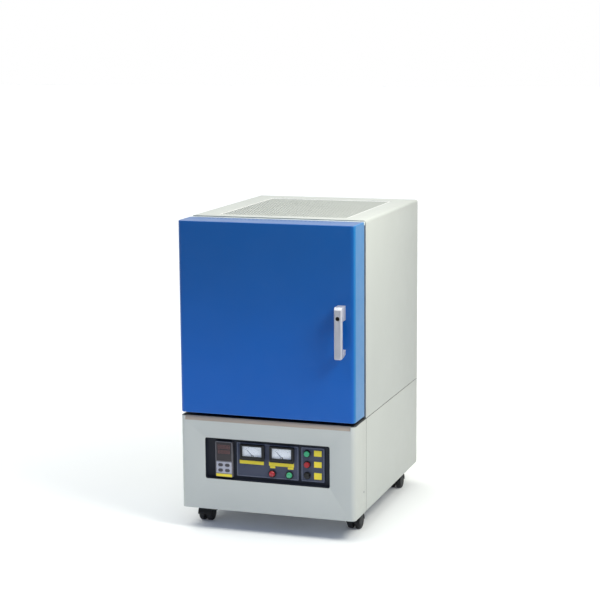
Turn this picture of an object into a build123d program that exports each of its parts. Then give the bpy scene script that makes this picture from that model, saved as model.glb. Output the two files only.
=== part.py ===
"""Muffle furnace on casters: a fibre-lined chamber over an electrical base, closed by a side-hung door.

Millimetres, +Z up. The origin is on the floor, under the middle of the overall box. The door faces -Y, and
+X is to the right of someone who faces it.
"""

import os

from build123d import *

os.makedirs("parts", exist_ok=True)

# Cabinet
width = 480.0
depth = 626.8  # front plane to rear panel
base_height = 249.7
body_height = 519.8
sheet = 1.5  # every folded panel
gap = 0.3  # between pieces that lie beside each other
seam = 0.8  # the shadow lines between outer panels
bend = 12.0  # outer radius of the upright folds at the front
base_return = 103.0  # how far the base's front panel runs back along the sides
bevel_height = 11.0  # the bevelled top edge of the base's front panel
bevel_depth = 7.0
flange = 15.0  # folded inner edges

# Top
top_bend = 7.0
vent_length = 432.0  # the perforated area
vent_side = 60.5  # from each side of the cabinet to the perforated area
vent_front = 33.0  # from the front of the body to the perforated area
vent_recess = 6.0
vent_rim = 10.0  # how far the perforated plate runs under the cover
hole_pitch = 30.0
hole_size = 17.0

# Door
door_thickness = 84.5
seal_gap = 16.8  # between the door's shell and the body
door_gap = 8.8  # between the base and the door
door_drop = 2.8  # from the top of the body down to the top of the door
door_edge = 3.0
pan_depth = 7.0  # the door's inner pan stands out behind its shell
pan_inset = 6.0
pan_hinge_inset = 30.0
door_vent_count = 32
door_vent_pitch = 11.0
door_vent_slot = 6.0
door_vent_width = 3.0
door_vent_back = 20.0  # from the back of the door's shell to the row of slots
door_vent_shift = -4.0

# Chamber and its lining
chamber_width = 200.0
chamber_height = 200.0
chamber_depth = 300.0
wall_board = 88.0
floor_board = 110.0
roof_thickness = 100.0
deck_sheet = 2.0
plug_clearance = 5.0
plug_reach = 30.0  # how far the door's plug enters the chamber
plug_taper = 8.0  # degrees
plug_flange = 35.0
door_fill = 50.0  # thickness of insulation inside the door's shell
gasket_width = 14.0
gasket_margin = 12.0
hearth_plate_thickness = 12.0
hearth_plate_margin = 22.0

# Heating elements: two-shank, hanging through the roof
element_pairs = 2  # on each side of the chamber
element_pitch = 110.0
shank_spacing = 50.0
hot_radius = 3.0
cold_radius = 6.0
element_wall_gap = 13.0  # from the chamber wall to the shanks
element_floor_gap = 22.0
cold_rise = 70.0  # the terminals' height above the roof board
clamp_height = 16.0
clamp_wall = 4.0

# Thermocouple
probe_radius = 4.0
probe_reach = 25.0
probe_head_radius = 16.0
probe_head_length = 30.0

# Hinges
hinge_inset = 6.5  # from the side of the cabinet to the hinge line
hinge_set = 6.0  # from the back of the door's shell to the hinge line
knuckle_radius = 5.5
pin_radius = 2.5
running = 0.05  # radial clearance of pins and shafts
knuckle_length = 20.0
hinge_end = 90.0  # from each end of the door to the nearest hinge
leaf_thickness = 3.0
leaf_reach = 22.0
pin_head = 2.0

# Handle and lock
handle_x = 206.0
handle_low = 488.0
handle_height = 134.0
handle_width = 20.0
handle_stand = 38.0
handle_bar = 13.0
upper_foot = 37.0
lower_foot = 21.0
handle_round = 4.0
handle_slope = 7.0  # cut off the top of the handle's face
heel_rise = 5.0  # of the lower foot's underside towards the door
lock_drop = 28.7  # from the handle's top to the lock
lock_radius = 5.5
spindle_radius = 4.0
cam_length = 24.0
cam_width = 14.0
cam_thickness = 3.0
cam_room = 3.0  # clear of the slot that the cam passes through

# Control panel
panel_width = 344.4
panel_height = 111.0
panel_rise = 83.0  # from the underside of the base to the cut-out
panel_corner = 5.0
tray_depth = 15.0
tray_wall = 2.0
tray_flange = 8.0
plate_thickness = 2.0
plate_height = 92.0
plate_rise = 9.7  # from the bottom of the cut-out to the plates
meter_plate_width = 172.0
meter_plate_x = -2.4
switch_plate_width = 64.0
switch_plate_x = 122.4

# Temperature controller
controller_x = -121.9
controller_width = 48.0
controller_height = 96.0
controller_bezel = 9.0
controller_body = 44.0
controller_length = 70.0
controller_window_height = 50.0
keypad_height = 31.0
keypad_border = 2.5
key_width = 13.0
key_height = 7.0
key_rise = 0.8

# Panel meters
meter_width = 67.0
meter_height = 38.5
meter_bezel = 8.0
meter_pitch = 82.0
meter_drop = 3.7  # from the top of the plate to the meters
meter_border = 5.5
meter_barrel = 17.0
meter_length = 38.0
dial_depth = 5.0
window_thickness = 1.2
pointer_length = 21.0
pointer_width = 1.2
pointer_thickness = 0.6
pointer_hub = 2.5
pointer_pivot = 1.0
pointer_rest = 45.0  # degrees to the left of upright

# Lamps and push buttons
lamp_xs = (10.7, 58.2)
lamp_rise = 13.5  # from the bottom of the plate
lamp_radius = 8.0
bezel_radius = 10.5
bezel_height = 3.0
lens_height = 5.0
button_x = 107.2
button_pitch = 29.1
button_radius = 7.2
button_bezel_radius = 9.6
button_proud = 5.0
button_travel = 3.0
switch_body = 9.0
switch_length = 34.0

# Electrical base
transformer_core = (120.0, 90.0, 110.0)
transformer_window = 30.0
coil_wall = 16.0
transformer_y = 390.0  # from the front plane
sink_width = 110.0
sink_length = 150.0
sink_height = 60.0
sink_base = 8.0
sink_fins = 8
fin_thickness = 3.0
module_height = 25.0
module_size = 70.0
sink_x = -130.0
sink_y = 250.0

# Cooling fan
fan_size = 120.0
fan_depth = 38.0
fan_x = -110.0
fan_rise = 130.0  # from the underside of the base to the fan's middle
fan_blade_radius = 54.0
fan_hub = 26.0
fan_blades = 7
fan_blade_thickness = 2.0
fan_blade_tilt = 35.0
fan_shaft = 4.0

# Cable gland
gland_x = 150.0
gland_rise = 60.0
gland_bore = 6.0
gland_thread = 11.0
gland_nut = 15.0
gland_nut_thickness = 6.0
gland_reach = 22.0
gland_inside = 14.0

# Casters
caster_height = 58.0
caster_x_inset = 38.0
caster_y_inset = 108.0
caster_headings = (-90.0, 90.0, 90.0, 90.0)  # front left, front right, rear left, rear right
caster_plate = 44.0
caster_plate_thickness = 2.5
wheel_radius = 21.0
wheel_width = 15.5  # each of the two wheels of a caster
wheel_trail = 22.0
tyre_round = 3.5
cover_round = 6.0  # the outer rim of each wheel
spine_half = 2.5  # half the web that carries the axle between the wheels
fork_wall = 2.5
fork_side_gap = 0.8
fork_shoulder = 13.0
fork_disc = 17.0
neck_half = 9.0
axle_boss = 8.0
axle_radius = 4.0
king_pin = 5.0
king_reach = 11.0  # of the pin into the fork
king_ring = 1.0  # how far the ring that holds the pin stands out of it
king_ring_height = 1.5
plate_bolts = 33.0  # between the bolts that hold a caster
bolt_head = 3.5

# Slots in the rear panels
slot_width = 5.0
fan_slot_length = 92.0
fan_slot_pitch = 9.0
fan_slots = 11
rear_slot_length = 120.0
rear_slot_pitch = 12.0
rear_slots = 5
rear_slots_apart = 150.0
rear_slot_drop = 60.0

# Screws
screw_head = 4.0
screw_length = 8.0
screw_recess = 0.2
side_screw_rise = 57.0
side_screw_back = 21.0
rear_screw_inset = 14.0

# Levels and planes worked out from the sizes above
front = (handle_stand - depth - gland_reach) / 2
back = front + depth
seam_y = front + base_return
door_back = front + door_thickness
body_y = door_back + seal_gap
base_z = caster_height
deck_z = base_z + base_height
top_z = deck_z + body_height
door_z = deck_z + door_gap
door_top = top_z - door_drop
inside = width / 2 - sheet - gap  # half width between the side panels
lining_y = body_y + sheet + gap
hearth_z = deck_z + deck_sheet + floor_board
chamber_top = hearth_z + chamber_height
roof_top = chamber_top + roof_thickness
chamber_back = lining_y + chamber_depth
lining_half = chamber_width / 2 + wall_board
lining_back = chamber_back + wall_board
chamber_mid = (hearth_z + chamber_top) / 2
mouth_half = chamber_width / 2
plug_half = mouth_half - plug_clearance
hinge_x = -width / 2 + hinge_inset
hinge_y = door_back + hinge_set
lock_z = handle_low + handle_height - lock_drop
cam_y = body_y + sheet + cam_room
tray_z = base_z + panel_rise
tray_mid = tray_z + panel_height / 2
tray_y = front + tray_depth  # the tray's floor, where the instruments stand
plate_y = tray_y - plate_thickness
plate_z = tray_z + plate_rise
plate_mid = plate_z + plate_height / 2
meter_z = plate_z + plate_height - meter_drop - meter_height / 2
lamp_z = plate_z + lamp_rise
vent_width = width - 2 * vent_side
vent_mid = body_y + vent_front + vent_length / 2
grille_z = top_z - vent_recess
fan_z = base_z + fan_rise
gland_z = base_z + gland_rise
frame_low = deck_z + deck_sheet + gap
frame_high = top_z - sheet - gap
frame_mid = (frame_low + frame_high) / 2
base_screw_pitch = base_height - 4 * rear_screw_inset
body_screw_pitch = (frame_high - frame_low) / 2 - rear_screw_inset


def facing(y):
    """The sketch plane at depth y that faces the front: local x is X, local y is Z, and it faces -Y."""
    return Plane.XZ.offset(-y)


def block(x, y, z, mode=Mode.ADD):
    """A box between the two limits given along each axis."""
    with Locations((sum(x) / 2, sum(y) / 2, sum(z) / 2)):
        Box(x[1] - x[0], y[1] - y[0], z[1] - z[0], mode=mode)


# ---------------------------------------------------------------- base

with BuildPart() as base_front_panel:
    with BuildSketch(Plane.XY.offset(base_z)):
        with Locations((0, (front + seam_y) / 2)):
            Rectangle(width, base_return)
        fillet(vertices().group_by(Axis.Y)[0], bend)
    extrude(amount=base_height)
    with BuildSketch(Plane.YZ.offset(bend - width / 2)):
        with BuildLine():
            Polyline(
                (front, deck_z - bevel_height),
                (front, deck_z),
                (front + bevel_depth, deck_z),
                close=True,
            )
        make_face()
    extrude(amount=width - 2 * bend, mode=Mode.SUBTRACT)
    open_faces = [faces().sort_by(Axis.Y)[-1], faces().sort_by(Axis.Z)[0]]
    offset(amount=-sheet, openings=open_faces)
    with BuildSketch(facing(front)):
        with Locations((0, tray_mid)):
            RectangleRounded(panel_width, panel_height, panel_corner)
    extrude(amount=-sheet - gap, mode=Mode.SUBTRACT)
    with BuildSketch(Plane.YZ.offset(-width)):
        with Locations((seam_y - side_screw_back, base_z + side_screw_rise)):
            Circle(screw_head + gap)
    extrude(amount=2 * width, mode=Mode.SUBTRACT)
base_front_panel.part.label = "base_front_panel"
export_step(base_front_panel.part, "parts/base_front_panel.step")

for side, name in ((-1, "base_left_panel"), (1, "base_right_panel")):
    with BuildPart() as base_side_panel:
        block(
            sorted((side * (width / 2 - flange), side * width / 2)),
            (seam_y + seam, back),
            (base_z, deck_z),
        )
        open_faces = [
            faces().sort_by(Axis.X)[0 if side > 0 else -1],
            faces().sort_by(Axis.Y)[0],
            faces().sort_by(Axis.Y)[-1],
            faces().sort_by(Axis.Z)[0],
        ]
        offset(amount=-sheet, openings=open_faces)
    base_side_panel.part.label = name
    export_step(base_side_panel.part, f"parts/{name}.step")

with BuildPart() as base_rear_panel:
    block((-inside, inside), (back - sheet, back), (base_z, deck_z - sheet - gap))
    with BuildSketch(facing(back)):
        with Locations((fan_x, fan_z)):
            with GridLocations(0, fan_slot_pitch, 1, fan_slots):
                SlotOverall(fan_slot_length, slot_width)
        with Locations((gland_x, gland_z)):
            Circle(gland_thread + running)
        with Locations((0, (base_z + deck_z - sheet) / 2)):
            with GridLocations(2 * (inside - rear_screw_inset), base_screw_pitch, 2, 2):
                Circle(screw_head + gap)
    extrude(amount=sheet, both=True, mode=Mode.SUBTRACT)
base_rear_panel.part.label = "base_rear_panel"
export_step(base_rear_panel.part, "parts/base_rear_panel.step")

with BuildPart() as base_floor:
    floor_front = front + sheet + gap
    floor_back = back - sheet - gap
    block((-inside, inside), (floor_front, floor_back), (base_z, base_z + flange))
    fillet(edges().filter_by(Axis.Z).group_by(Axis.Y)[0], bend - sheet)
    offset(amount=-sheet, openings=faces().sort_by(Axis.Z)[-1])
base_floor.part.label = "base_floor"
export_step(base_floor.part, "parts/base_floor.step")

# ---------------------------------------------------------------- body

with BuildPart() as body_wrap:
    with BuildSketch(facing(body_y)):
        with Locations((0, (deck_z + seam + top_z) / 2)):
            Rectangle(width, body_height - seam)
        fillet(vertices().group_by(Axis.Y)[-1], top_bend)
    extrude(amount=body_y - back)
    open_faces = [faces().sort_by(Axis.Y)[0], faces().sort_by(Axis.Y)[-1], faces().sort_by(Axis.Z)[0]]
    offset(amount=-sheet, openings=open_faces)
    with BuildSketch(Plane.XY.offset(top_z)):
        with Locations((0, vent_mid)):
            Rectangle(vent_width + 2 * sheet, vent_length + 2 * sheet)
    extrude(amount=-vent_recess)
    with BuildSketch(Plane.XY.offset(top_z)):
        with Locations((0, vent_mid)):
            Rectangle(vent_width, vent_length)
    extrude(amount=-vent_recess, mode=Mode.SUBTRACT)
body_wrap.part.label = "body_wrap"
export_step(body_wrap.part, "parts/body_wrap.step")

with BuildPart() as top_grille:
    with BuildSketch(Plane.XY.offset(grille_z)):
        with Locations((0, vent_mid)):
            Rectangle(vent_width + 2 * vent_rim, vent_length + 2 * vent_rim)
            columns = int((vent_width - hole_size) / hole_pitch)
            rows = int((vent_length - hole_size) / (hole_pitch * 0.866))
            with HexLocations(hole_pitch / 2, columns, rows, major_radius=False):
                RegularPolygon(hole_size / 2, 6, mode=Mode.SUBTRACT)
    extrude(amount=-sheet)
top_grille.part.label = "top_grille"
export_step(top_grille.part, "parts/top_grille.step")

with BuildPart() as body_front_frame:
    with BuildSketch(facing(body_y)):
        with Locations((0, frame_mid)):
            Rectangle(2 * inside, frame_high - frame_low)
        fillet(vertices().group_by(Axis.Y)[-1], top_bend - sheet)
        with Locations((0, chamber_mid)):
            Rectangle(chamber_width, chamber_height, mode=Mode.SUBTRACT)
        with Locations((handle_x, lock_z + cam_width / 2 + cam_room)):
            Rectangle(
                cam_width + 2 * cam_room,
                cam_length + cam_width / 2 + 2 * cam_room,
                align=(Align.CENTER, Align.MAX),
                mode=Mode.SUBTRACT,
            )
    extrude(amount=-sheet)
    with BuildSketch(facing(body_y)):
        with Locations((0, frame_high)):
            Rectangle(2 * inside - 2 * top_bend, sheet, align=(Align.CENTER, Align.MAX))
    extrude(amount=-flange)
body_front_frame.part.label = "body_front_frame"
export_step(body_front_frame.part, "parts/body_front_frame.step")

with BuildPart() as body_rear_panel:
    block((-inside, inside), (back - sheet, back), (frame_low, frame_high))
    fillet(edges().filter_by(Axis.Y).group_by(Axis.Z)[-1], top_bend - sheet)
    with BuildSketch(facing(back)):
        with Locations((0, frame_high - rear_slot_drop)):
            with GridLocations(rear_slots_apart, rear_slot_pitch, 2, rear_slots):
                SlotOverall(rear_slot_length, slot_width)
        with Locations((0, frame_mid)):
            with GridLocations(2 * (inside - rear_screw_inset), body_screw_pitch, 2, 3):
                Circle(screw_head + gap)
    extrude(amount=sheet, both=True, mode=Mode.SUBTRACT)
body_rear_panel.part.label = "body_rear_panel"
export_step(body_rear_panel.part, "parts/body_rear_panel.step")

with BuildPart() as inner_casing:
    block((-inside, inside), (lining_y, back - sheet - gap), (deck_z, deck_z + deck_sheet))
    casing_half = lining_half + gap + sheet
    casing_back = lining_back + gap + sheet
    block((-casing_half, casing_half), (lining_y, casing_back), (deck_z, roof_top))
    block(
        (-lining_half - gap, lining_half + gap),
        (lining_y, lining_back + gap),
        (deck_z + deck_sheet, roof_top),
        mode=Mode.SUBTRACT,
    )
    with BuildSketch(facing(casing_back)):
        with Locations((0, chamber_mid)):
            Circle(probe_radius + gap)
    extrude(amount=3 * sheet, both=True, mode=Mode.SUBTRACT)
inner_casing.part.label = "inner_casing"
export_step(inner_casing.part, "parts/inner_casing.step")

# ---------------------------------------------------------------- chamber lining

with BuildPart() as hearth_board:
    block((-lining_half, lining_half), (lining_y, lining_back), (deck_z + deck_sheet, hearth_z))
hearth_board.part.label = "hearth_board"
export_step(hearth_board.part, "parts/hearth_board.step")

with BuildPart() as side_boards:
    for side in (-1, 1):
        block(
            sorted((side * mouth_half, side * lining_half)),
            (lining_y, lining_back),
            (hearth_z, chamber_top),
        )
side_boards.part.label = "side_boards"
export_step(side_boards.part, "parts/side_boards.step")

with BuildPart() as rear_board:
    block((gap - mouth_half, mouth_half - gap), (chamber_back, lining_back), (hearth_z, chamber_top))
    with BuildSketch(facing(lining_back)):
        with Locations((0, chamber_mid)):
            Circle(probe_radius + gap)
    extrude(amount=wall_board, mode=Mode.SUBTRACT)
rear_board.part.label = "rear_board"
export_step(rear_board.part, "parts/rear_board.step")

element_x = mouth_half - element_wall_gap
element_ys = [
    lining_y + plug_reach + (chamber_depth - plug_reach) / 2 + (i - (element_pairs - 1) / 2) * element_pitch
    for i in range(element_pairs)
]
element_places = [(side * element_x, y) for side in (-1, 1) for y in element_ys]
shank_places = [(x, y + end * shank_spacing / 2) for x, y in element_places for end in (-1, 1)]

with BuildPart() as roof_board:
    block((-lining_half, lining_half), (lining_y, lining_back), (chamber_top, roof_top))
    with BuildSketch(Plane.XY.offset(roof_top)):
        with Locations(*shank_places):
            Circle(cold_radius + gap)
    extrude(amount=-roof_thickness, mode=Mode.SUBTRACT)
roof_board.part.label = "roof_board"
export_step(roof_board.part, "parts/roof_board.step")

with BuildPart() as hearth_plate:
    plate_half = element_x - hearth_plate_margin + hot_radius
    block(
        (-plate_half, plate_half),
        (lining_y + plug_reach + hearth_plate_margin, chamber_back - hearth_plate_margin),
        (hearth_z, hearth_z + hearth_plate_thickness),
    )
    fillet(edges().filter_by(Axis.Z), hearth_plate_thickness / 2)
hearth_plate.part.label = "hearth_plate"
export_step(hearth_plate.part, "parts/hearth_plate.step")

element_low = hearth_z + element_floor_gap
taper_z = chamber_top - 2 * cold_radius
with BuildPart() as heating_elements:
    for x, y in element_places:
        with BuildLine(Plane((x, y, 0), x_dir=(0, 1, 0), z_dir=(1, 0, 0))):
            bend_z = element_low + shank_spacing / 2
            right_shank = Line((shank_spacing / 2, taper_z), (shank_spacing / 2, bend_z))
            lower_bend = ThreePointArc(
                right_shank @ 1,
                (0, element_low),
                (-shank_spacing / 2, bend_z),
            )
            Line(lower_bend @ 1, (-shank_spacing / 2, taper_z))
        with BuildSketch(Plane((x, y + shank_spacing / 2, taper_z), z_dir=(0, 0, -1))):
            Circle(hot_radius)
        sweep()
    with BuildSketch(Plane.XY.offset(taper_z)):
        with Locations(*shank_places):
            Circle(cold_radius)
    extrude(amount=roof_top + cold_rise - taper_z)
heating_elements.part.label = "heating_elements"
export_step(heating_elements.part, "parts/heating_elements.step")

with BuildPart() as element_clamps:
    with BuildSketch(Plane.XY.offset(roof_top)):
        with Locations(*element_places):
            Rectangle(
                2 * (cold_radius + clamp_wall),
                shank_spacing + 2 * (cold_radius + clamp_wall),
            )
        fillet(vertices(), cold_radius)
        with Locations(*shank_places):
            Circle(cold_radius + running, mode=Mode.SUBTRACT)
    extrude(amount=clamp_height)
element_clamps.part.label = "element_clamps"
export_step(element_clamps.part, "parts/element_clamps.step")

with BuildPart() as thermocouple:
    with BuildSketch(facing(casing_back)):
        with Locations((0, chamber_mid)):
            Circle(probe_radius)
    extrude(amount=wall_board + probe_reach + sheet)
    with BuildSketch(facing(casing_back + gap)):
        with Locations((0, chamber_mid)):
            Circle(probe_head_radius)
    extrude(amount=-probe_head_length)
    with BuildSketch(facing(casing_back)):
        with Locations((0, chamber_mid)):
            Circle(probe_radius)
    extrude(amount=-probe_head_length)
    fillet(edges().sort_by(Axis.Y)[-1], probe_radius)
thermocouple.part.label = "thermocouple"
export_step(thermocouple.part, "parts/thermocouple.step")

# ---------------------------------------------------------------- door

with BuildPart() as door_shell:
    with BuildSketch(Plane.XY.offset(door_z)):
        with Locations((0, (front + door_back) / 2)):
            Rectangle(width, door_thickness)
        fillet(vertices().group_by(Axis.Y)[0], bend)
    extrude(amount=door_top - door_z)
    front_rim = edges().filter_by_position(Axis.Y, front - 1, front + bend + 1).filter_by(
        lambda edge: abs(edge.center().Z - door_z) < 1 or abs(edge.center().Z - door_top) < 1
    )
    fillet(front_rim, door_edge)
    offset(amount=-sheet, openings=faces().sort_by(Axis.Y)[-1])
    with BuildSketch(Plane.XY.offset(door_top)):
        with Locations((door_vent_shift, door_back - door_vent_back)):
            with GridLocations(door_vent_pitch, 1, door_vent_count, 1):
                Rectangle(door_vent_slot, door_vent_width)
    extrude(amount=-sheet - gap, mode=Mode.SUBTRACT)
    with BuildSketch(facing(front)):
        with Locations((handle_x, lock_z)):
            Circle(spindle_radius + gap)
    extrude(amount=-2 * sheet, mode=Mode.SUBTRACT)
door_shell.part.label = "door_shell"
export_step(door_shell.part, "parts/door_shell.step")

pan_y = door_back + pan_depth
pan_low = door_z + pan_inset
pan_high = door_top - pan_inset
pan_x = (pan_hinge_inset - width / 2, width / 2 - pan_inset)

with BuildPart() as door_inner_pan:
    with BuildSketch(facing(door_back)):
        with Locations((0, (door_z + door_top) / 2)):
            RectangleRounded(2 * inside, door_top - door_z - 2 * (sheet + gap), sheet)
    extrude(amount=sheet)
    block(pan_x, (door_back - sheet, pan_y), (pan_low, pan_high))
    block(
        (pan_x[0] + sheet, pan_x[1] - sheet),
        (door_back - 2 * sheet, pan_y - sheet),
        (pan_low + sheet, pan_high - sheet),
        mode=Mode.SUBTRACT,
    )
    with BuildSketch(facing(pan_y)):
        with Locations((0, chamber_mid)):
            Rectangle(2 * (plug_half + gap), 2 * (plug_half + gap))
        with Locations((handle_x, lock_z)):
            Circle(spindle_radius + gap)
    extrude(amount=3 * sheet, mode=Mode.SUBTRACT)
door_inner_pan.part.label = "door_inner_pan"
export_step(door_inner_pan.part, "parts/door_inner_pan.step")

with BuildPart() as door_plug:
    with BuildSketch(facing(pan_y - sheet)):
        with Locations((0, chamber_mid)):
            Rectangle(2 * (plug_half + plug_flange), 2 * (plug_half + plug_flange))
    extrude(amount=door_fill)
    with BuildSketch(facing(pan_y - sheet)):
        with Locations((0, chamber_mid)):
            Rectangle(2 * plug_half, 2 * plug_half)
    extrude(amount=pan_y - sheet - lining_y - plug_reach, taper=plug_taper)
door_plug.part.label = "door_plug"
export_step(door_plug.part, "parts/door_plug.step")

with BuildPart() as door_gasket:
    gasket_inner = 2 * (mouth_half + gasket_margin)
    gasket_outer = gasket_inner + 2 * gasket_width
    with BuildSketch(facing(pan_y)):
        with Locations((0, chamber_mid)):
            RectangleRounded(gasket_outer, gasket_outer, gasket_width)
            Rectangle(gasket_inner, gasket_inner, mode=Mode.SUBTRACT)
    extrude(amount=pan_y + gap - body_y)
door_gasket.part.label = "door_gasket"
export_step(door_gasket.part, "parts/door_gasket.step")

# ---------------------------------------------------------------- hinges

hinge_zs = (door_z + hinge_end, door_top - hinge_end)
knuckle_half = knuckle_length / 2

with BuildPart() as body_hinge_leaves:
    for z in hinge_zs:
        for end in (-1, 1):
            middle = z + end * knuckle_length
            low, high = middle - knuckle_half + gap / 2, middle + knuckle_half - gap / 2
            with BuildSketch(Plane.XY.offset(low)):
                with Locations((hinge_x, hinge_y)):
                    Circle(knuckle_radius)
                with Locations((hinge_x, hinge_y)):
                    Rectangle(leaf_thickness + 1, body_y - gap - hinge_y, align=(Align.MIN, Align.MIN))
                with Locations((hinge_x, body_y - gap)):
                    Rectangle(leaf_reach, leaf_thickness - gap, align=(Align.MIN, Align.MAX))
                with Locations((hinge_x, hinge_y)):
                    Circle(pin_radius + running, mode=Mode.SUBTRACT)
            extrude(amount=high - low)
        with BuildSketch(Plane.XY.offset(z - 1.5 * knuckle_length + gap / 2)):
            with Locations((hinge_x + 2 * leaf_thickness, body_y - gap)):
                Rectangle(leaf_reach - 2 * leaf_thickness, leaf_thickness - gap, align=(Align.MIN, Align.MAX))
        extrude(amount=3 * knuckle_length - gap)
body_hinge_leaves.part.label = "body_hinge_leaves"
export_step(body_hinge_leaves.part, "parts/body_hinge_leaves.step")

with BuildPart() as door_hinge_leaves:
    for z in hinge_zs:
        with BuildSketch(Plane.XY.offset(z - knuckle_half + gap / 2)):
            with Locations((hinge_x, hinge_y)):
                Circle(knuckle_radius)
            with Locations((hinge_x, door_back + gap)):
                Rectangle(leaf_reach, leaf_thickness, align=(Align.MIN, Align.MIN))
            with Locations((hinge_x, hinge_y)):
                Circle(pin_radius + running, mode=Mode.SUBTRACT)
        extrude(amount=knuckle_length - gap)
        with BuildSketch(Plane.XY.offset(z - 1.5 * knuckle_length)):
            with Locations((hinge_x + knuckle_radius + 1, door_back + gap)):
                Rectangle(
                    leaf_reach - knuckle_radius - 1, leaf_thickness, align=(Align.MIN, Align.MIN)
                )
        extrude(amount=3 * knuckle_length)
door_hinge_leaves.part.label = "door_hinge_leaves"
export_step(door_hinge_leaves.part, "parts/door_hinge_leaves.step")

with BuildPart() as hinge_pins:
    for z in hinge_zs:
        for low, high, radius in (
            (-1.5 * knuckle_length, 1.5 * knuckle_length, pin_radius),
            (1.5 * knuckle_length - gap / 2, 1.5 * knuckle_length + pin_head, knuckle_radius - 1),
        ):
            with BuildSketch(Plane.XY.offset(z + low)):
                with Locations((hinge_x, hinge_y)):
                    Circle(radius)
            extrude(amount=high - low)
hinge_pins.part.label = "hinge_pins"
export_step(hinge_pins.part, "parts/hinge_pins.step")

# ---------------------------------------------------------------- handle and lock

handle_front = front - handle_stand
handle_top = handle_low + handle_height

with BuildPart() as handle:
    with BuildSketch(Plane.YZ.offset(handle_x - handle_width / 2)):
        with Locations(((handle_front + front) / 2, handle_low + handle_height / 2)):
            Rectangle(handle_stand, handle_height)
        fillet(vertices().group_by(Axis.X)[0].sort_by(Axis.Y)[0], handle_round)
        chamfer(vertices().group_by(Axis.X)[0].sort_by(Axis.Y)[-1], handle_slope)
        with Locations((front, handle_low)):
            Polygon((0, 0), (handle_bar - handle_stand, 0), (0, heel_rise), align=None, mode=Mode.SUBTRACT)
        grip_low = handle_low + lower_foot
        grip_high = handle_top - upper_foot
        with Locations((front, (grip_low + grip_high) / 2)):
            Rectangle(
                handle_stand - handle_bar,
                grip_high - grip_low,
                align=(Align.MAX, Align.CENTER),
                mode=Mode.SUBTRACT,
            )
    extrude(amount=handle_width)
    inner_corners = edges().filter_by(Axis.X).filter_by(
        lambda edge: abs(edge.center().Y - handle_front - handle_bar) < 0.01
    )
    fillet(inner_corners, handle_round)
    fillet(faces().sort_by(Axis.Y)[0].edges().filter_by(Axis.Z), handle_round)
    with BuildSketch(facing(handle_front)):
        with Locations((handle_x, lock_z)):
            Circle(lock_radius + running)
    extrude(amount=-handle_stand, mode=Mode.SUBTRACT)
handle.part.label = "handle"
export_step(handle.part, "parts/handle.step")

with BuildPart() as lock_plug:
    with BuildSketch(facing(handle_front + 1)):
        with Locations((handle_x, lock_z)):
            Circle(lock_radius)
    extrude(amount=1 + gap - handle_stand)
    with BuildSketch(facing(front - gap)):
        with Locations((handle_x, lock_z)):
            Circle(spindle_radius)
    extrude(amount=front - gap - cam_y - cam_thickness - gap)
    with BuildSketch(facing(cam_y + cam_thickness + gap)):
        with Locations((handle_x, lock_z)):
            Circle(spindle_radius + 2)
    extrude(amount=-cam_thickness)
    with BuildSketch(facing(handle_front + 1)):
        with Locations((handle_x, lock_z)):
            Rectangle(spindle_radius / 2, 2 * spindle_radius)
    extrude(amount=-lock_radius / 2, mode=Mode.SUBTRACT)
lock_plug.part.label = "lock_plug"
export_step(lock_plug.part, "parts/lock_plug.step")

with BuildPart() as lock_cam:
    with BuildSketch(facing(cam_y)):
        with Locations((handle_x, lock_z)):
            Circle(cam_width / 2)
            Rectangle(cam_width, cam_length, align=(Align.CENTER, Align.MAX))
            Circle(spindle_radius + running, mode=Mode.SUBTRACT)
    extrude(amount=-cam_thickness)
    fillet(edges().filter_by(Axis.Y).group_by(Axis.Z)[0], cam_width / 4)
lock_cam.part.label = "lock_cam"
export_step(lock_cam.part, "parts/lock_cam.step")

# ---------------------------------------------------------------- control panel

controller_mid = tray_mid - 2.1
meter_xs = (meter_plate_x - meter_pitch / 2, meter_plate_x + meter_pitch / 2)
lamp_places = [(x, lamp_z) for x in lamp_xs]
button_zs = [plate_mid + button_pitch * step for step in (1, 0, -1)]
button_places = [(button_x, z) for z in button_zs]

with BuildPart() as control_tray:
    with BuildSketch(facing(front + sheet + gap)):
        with Locations((0, tray_mid)):
            RectangleRounded(panel_width + 2 * tray_flange, panel_height + 2 * tray_flange, panel_corner)
    extrude(amount=-tray_wall)
    with BuildSketch(facing(front + sheet + gap)):
        with Locations((0, tray_mid)):
            RectangleRounded(panel_width + 2 * tray_wall, panel_height + 2 * tray_wall, panel_corner + tray_wall)
    extrude(amount=front + sheet + gap - tray_y - tray_wall)
    with BuildSketch(facing(front)):
        with Locations((0, tray_mid)):
            RectangleRounded(panel_width, panel_height, panel_corner)
    extrude(amount=-tray_depth, mode=Mode.SUBTRACT)
    with BuildSketch(facing(tray_y)):
        with Locations((controller_x, controller_mid)):
            Rectangle(controller_body + gap, 2 * controller_body + gap)
        with Locations(*[(x, meter_z) for x in meter_xs]):
            Circle(meter_barrel + gap)
        with Locations(*lamp_places):
            Circle(switch_body + gap)
        with Locations(*button_places):
            Circle(switch_body + gap)
    extrude(amount=-tray_wall, mode=Mode.SUBTRACT)
control_tray.part.label = "control_tray"
export_step(control_tray.part, "parts/control_tray.step")

with BuildPart() as meter_plate:
    with BuildSketch(facing(plate_y)):
        with Locations((meter_plate_x, plate_mid)):
            RectangleRounded(meter_plate_width, plate_height, plate_thickness)
        with Locations(*[(x, meter_z) for x in meter_xs]):
            Circle(meter_barrel + gap, mode=Mode.SUBTRACT)
        with Locations(*lamp_places):
            Circle(switch_body + gap, mode=Mode.SUBTRACT)
    extrude(amount=-plate_thickness)
meter_plate.part.label = "meter_plate"
export_step(meter_plate.part, "parts/meter_plate.step")

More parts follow.
